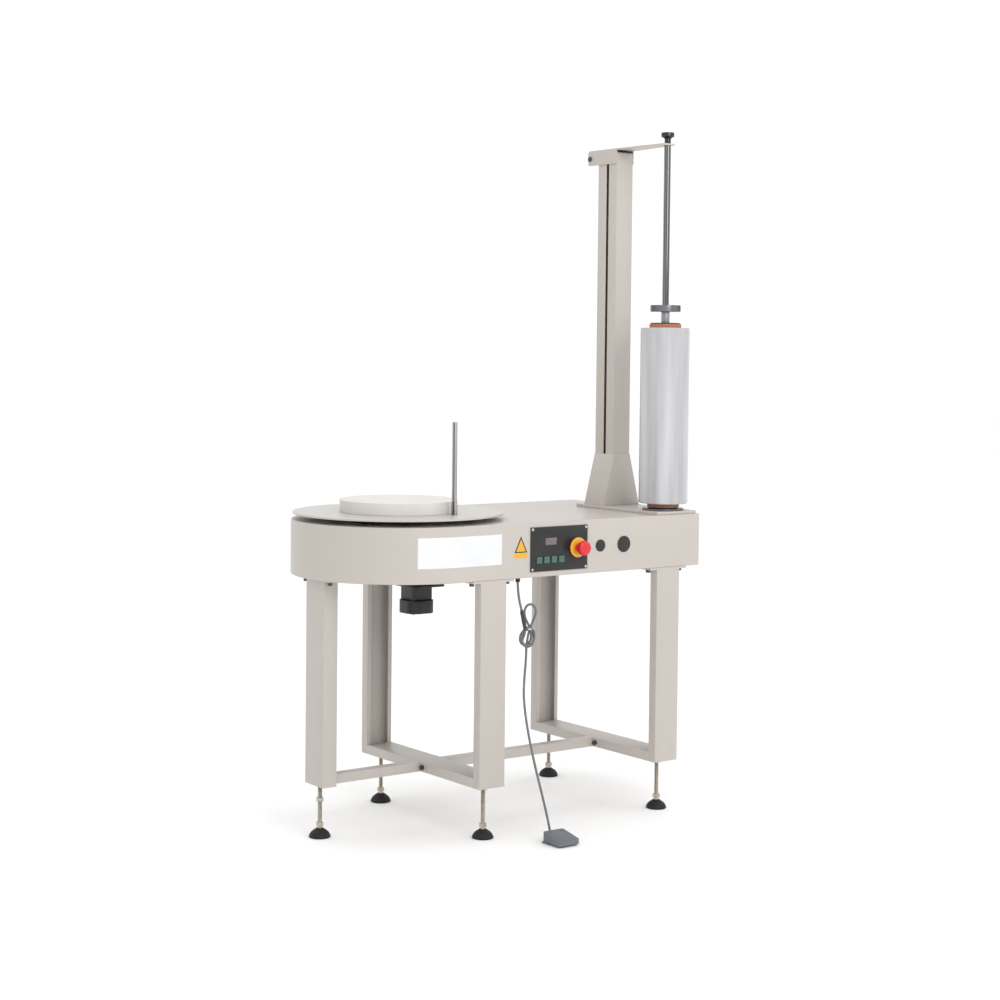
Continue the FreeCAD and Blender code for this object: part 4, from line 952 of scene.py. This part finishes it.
@dataclass
class Spindle:
    """Rod, base, film roll, core, collar and knob."""

    rod_r: float = 10.0
    base_r: float = 58.5
    base_thick: float = 5.0
    core_bore: float = 38.1
    core_r: float = 45.0
    film_bore: float = 45.2
    sleeve_bore: float = 10.1
    sleeve_r: float = 12.0
    collar_thick: float = 19.0
    knurl_depth: float = 0.7
    slot_half: float = 4.0
    slot_inset: float = 3.8
    socket_r: float = 5.9
    socket_depth: float = 15.0
    waviness: float = 0.25
    knurls: int = 72
    slot_way: float = -64.0

    def build(self) -> None:
        """Makes the spindle's pieces."""
        self.rod()
        self.roll()
        self.collar()
        self.knob()

    def rod(self) -> None:
        """The chromed upright, with painted reflection bands along it, and its welded base."""
        box = Spot("spindle_rod")
        h = box.height()
        base = rounded_profile(tube(self.rod_r, self.base_r, self.base_thick, 0), 1.2)
        socket, deep = self.socket_r, h - self.socket_depth
        outline = [(0, 0), (self.rod_r, 0), (self.rod_r, h), (socket, h), (socket, deep), (0, deep)]
        pin = rounded_profile(outline, 0.8)
        Form().turned(pin, box.foot, steps=64).piece("spindle_upright", "frame", REFLECTION_BANDED, ["spindle_rod"])
        Form().turned(base, box.foot, steps=96, ring=True).piece(
            "spindle_foot", "frame", DARK_STEEL, ["spindle_base"])

    def roll(self) -> None:
        """The wound film, the card core and the chucks."""
        box = Spot("film_roll")
        r, h = box.radius(), box.height()
        face = [(self.film_bore, 0), (60, 0.3), (r - 2, 0.8), (r, 3.0)]
        side = [
            (r - self.waviness * math.sin(math.pi * i / 12) - 0.12 * (i % 2), 3 + (h - 6) * i / 12)
            for i in range(1, 12)
        ]
        top = [(r, h - 3), (r - 2, h - 0.8), (60, h - 0.3), (self.film_bore, h)]
        Form().turned(face + side + top, box.foot, steps=120, ring=True).piece(
            "wound_film", "film_roll", FILM, ["film_roll"])
        core = Spot("roll_core")
        shape = rounded_profile(tube(self.core_bore, self.core_r, 0, core.height()), 0.6, 2)
        form = Form().turned(shape, core.foot, steps=96, ring=True)
        form.piece("card_core", "film_roll", KRAFT, ["roll_core"])
        folded("core_chucks", "film_roll", CHUCK, 0.5)

    def collar(self) -> None:
        """The knurled tension collar on its sleeve, with a black block painted as the shade in its slot."""
        box = Spot("tension_collar")
        h = box.height()
        r = box.radius()
        low = h - self.collar_thick
        sleeve = rounded_profile(tube(self.sleeve_bore, self.sleeve_r, 0, low), 0.5)
        form = Form().turned(sleeve, box.foot, steps=64, ring=True)
        form.piece("collar_sleeve", "collar", TURNED, ["tension_collar"])
        rim = rounded_profile(tube(self.sleeve_bore, r, low, h), 2.0)
        form = Form().turned(rim, box.foot, steps=self.knurls * 2, ring=True)
        form.bm.faces.ensure_lookup_table()
        step = 360 / (self.knurls * 2)

        def raised(face: bmesh.types.BMFace) -> bool:
            """True for every second facet of the rim."""
            spoke = face.calc_center_median().xy - box.centre.xy
            turn = math.degrees(math.atan2(spoke.y, spoke.x))
            return abs(face.normal.z) < 0.2 and spoke.length > (r - 2) * MM and bool(int(turn / step) % 2)

        outer = [f for f in form.bm.faces if raised(f)]
        bmesh.ops.inset_individual(form.bm, faces=outer, thickness=0.25 * MM, depth=-self.knurl_depth * MM)
        form.piece("collar_disc", "collar", COLLAR)
        # a black block fills the slot in the rim: its black is painted shade of the recess
        way = Vector((math.cos(math.radians(self.slot_way)), math.sin(math.radians(self.slot_way)), 0.0))
        middle = box.foot + way * (r - self.slot_inset) * MM + Vector((0, 0, (low + h) / 2 * MM))
        half = Vector((self.slot_half, self.slot_half, (h - low) / 2 - 2.0)) * MM
        Form().block(middle - half, middle + half, 0.0006).piece("collar_slot_shade", "collar", PLUG_BLACK)

    def knob(self) -> None:
        """The plunger's knob with its shank."""
        box = Spot("spindle_knob")
        h = box.height()
        r = box.radius()
        shape = [(0, 0), (5, 0), (5, h - 31), (9, h - 31), (9, h - 18), (11, h - 15.5), (15, h - 13.5),
                 (r, h - 12), (r, h), (0, h)]
        form = Form().turned(rounded_profile(shape, 1.6), box.foot, steps=96)
        form.piece("knob_head", "knob", DARK_CHROME, ["spindle_knob"])


@dataclass
class Panel:
    """The control panel on the table's front."""

    screw_r: float = 4.0
    pane: tuple = ((0.0495, 0.0705), (0.0875, 0.0895))

    def build(self) -> None:
        """Makes the panel's pieces."""
        folded("control_panel", "frame", PANEL_BLACK, 0.7, 2)
        folded("controller_box", "frame", PLUG_BLACK, 1.0, 2)
        self.screws()
        self.window()
        for index in range(1, 5):
            self.key(index)
        self.stop()
        folded("hole_plugs", "frame", PLUG_BLACK, 0.8, 3)

    def screws(self) -> None:
        """Four pan-head screws, each with a shallow round recess in its head."""
        box = Spot("panel_screws")
        form = Form()
        head = [(0, 0), (4, 0), (3.8, 1.0), (2.6, 1.8), (1.4, 1.8), (1.0, 1.0), (0, 0.9)]
        inset = self.screw_r * MM
        for x in (box.low.x + inset, box.high.x - inset):
            for z in (box.low.z + inset, box.high.z - inset):
                foot = Vector((x, box.high.y, z))
                form.turned(head, foot, Axis.FRONT, 28)
        form.piece("panel_screw_heads", "frame", ZINC, ["panel_screws"])

    def window(self) -> None:
        """The display's window pane."""
        panel = Spot("control_panel")
        (x0, z0), (x1, z1) = self.pane
        low = Vector((panel.low.x + x0, panel.low.y + 0.0004, panel.low.z + z0))
        high = Vector((panel.low.x + x1, panel.low.y + 0.0014, panel.low.z + z1))
        Form().block(low, high, 0.0003, 2).piece("display_pane", "frame", DISPLAY)

    def key(self, index: int) -> None:
        """A key with rounded corners and softened front edges."""
        box = Spot("panel_key_%d" % index)
        form = Form().block(box.low, box.high)
        form.soften(2.4, 4, 32.0, lambda e: abs((e.verts[0].co - e.verts[1].co).normalized().y) > 0.9)
        form.soften(0.8, 3, 50.0, lambda e: max(v.co.y for v in e.verts) < box.centre.y)
        form.piece("key_%d" % index, "key_%d" % index, KEY_TEAL, ["panel_key_%d" % index])

    def stop(self) -> None:
        """The stop mushroom on its yellow ring."""
        ring = Spot("estop_ring")
        foot = Vector((ring.centre.x, ring.high.y, ring.centre.z))
        t = (ring.high.y - ring.low.y) / MM
        r = ring.radius()
        collar = [(11.2, 0), (r, 0), (r, t - 1), (r - 1.2, t), (18, t), (17, t - 0.6), (11.2, t - 0.6)]
        Form().turned(rounded_profile(collar, 0.6, 3), foot, Axis.FRONT, 96, True).piece(
            "stop_ring", "frame", STOP_YELLOW, ["estop_ring"])
        box = Spot("estop_button")
        back = Vector((box.centre.x, ring.low.y + 0.0004, box.centre.z))
        h = (back.y - box.low.y) / MM
        shape = [(0, 0), (11, 0), (11, h - 28), (14, h - 28), (14, h - 16), (18.5, h - 16), (20, h - 14),
                 (20, h - 8), (18.6, h - 3.6), (15, h - 1), (8, h - 0.2), (0, h)]
        Form().turned(rounded_profile(shape, 1.4, 3), back, Axis.FRONT, 96).piece(
            "stop_mushroom", "estop", STOP_RED, ["estop_button"])


@dataclass
class Pedal:
    """The foot pedal."""

    def build(self) -> None:
        """Makes the base and the tread."""
        for node, body in (("pedal_base", "frame"), ("pedal_tread", "tread")):
            form = Form().from_node(node).soften(1.2, 3, 32.0, lambda e: e.is_convex)
            form.piece("%s_shape" % node, body, PEDAL_GREY, [node])


# ---- surroundings ----
@dataclass(frozen=True)
class Studio:
    """A pale floor and soft light."""

    floor_size: float = 60.0
    floor_tone: Colour = (0.96, 0.96, 0.96)
    sky_strength: float = 1.06
    aim: tuple = (0.0, 0.0, 0.9)
    lamps: tuple = (
        ("key_lamp", (-0.6, -4.6, 2.9), 70.0, 2.0),
        ("fill_lamp", (3.2, -2.6, 2.2), 10.0, 3.0),
        ("top_lamp", (0.3, 0.6, 4.4), 20.0, 3.4),
    )

    def build(self) -> None:
        """Makes the floor, the world and the lamps."""
        form = Form()
        bmesh.ops.create_grid(form.bm, x_segments=1, y_segments=1, size=self.floor_size / 2)
        mesh = bpy.data.meshes.new("floor")
        form.bm.to_mesh(mesh)
        form.bm.free()
        bench = Bench("studio_floor")
        bench.feed("Base Color", self.floor_tone)
        bench.feed("Roughness", 0.9)
        mesh.materials.append(bench.material)
        floor = bpy.data.objects.new("floor", mesh)
        bpy.context.scene.collection.objects.link(floor)
        world = bpy.data.worlds.new("studio")
        world.use_nodes = True
        sky = world.node_tree.nodes["Background"]
        sky.inputs[0].default_value = (1.0, 1.0, 1.0, 1.0)
        sky.inputs[1].default_value = self.sky_strength
        bpy.context.scene.world = world
        for lamp in self.lamps:
            self.lamp(*lamp)
        bpy.context.scene.view_settings.view_transform = "Standard"

    def lamp(self, name: str, place: Colour, power: float, size: float) -> None:
        """A soft square lamp aimed at the object."""
        data = bpy.data.lights.new(name, "AREA")
        data.energy = power
        data.size = size
        made = bpy.data.objects.new(name, data)
        bpy.context.scene.collection.objects.link(made)
        way = Vector(self.aim) - Vector(place)
        turn = way.to_track_quat("-Z", "Y").to_matrix().to_4x4()
        made.matrix_world = Matrix.Translation(Vector(place)) @ turn


def main() -> None:
    """Builds the camera and cords, then each sub-assembly, then the surroundings."""
    logging.basicConfig(level=logging.INFO, format="%(name)s: %(message)s")
    Viewpoint().make()
    for part in (Cords(), Table(), Frame(), Turntable(), Column(), Spindle(), Panel(), Pedal(), Studio()):
        LOG.info("building %s", type(part).__name__)
        part.build()


if __name__ == "__main__":
    main()
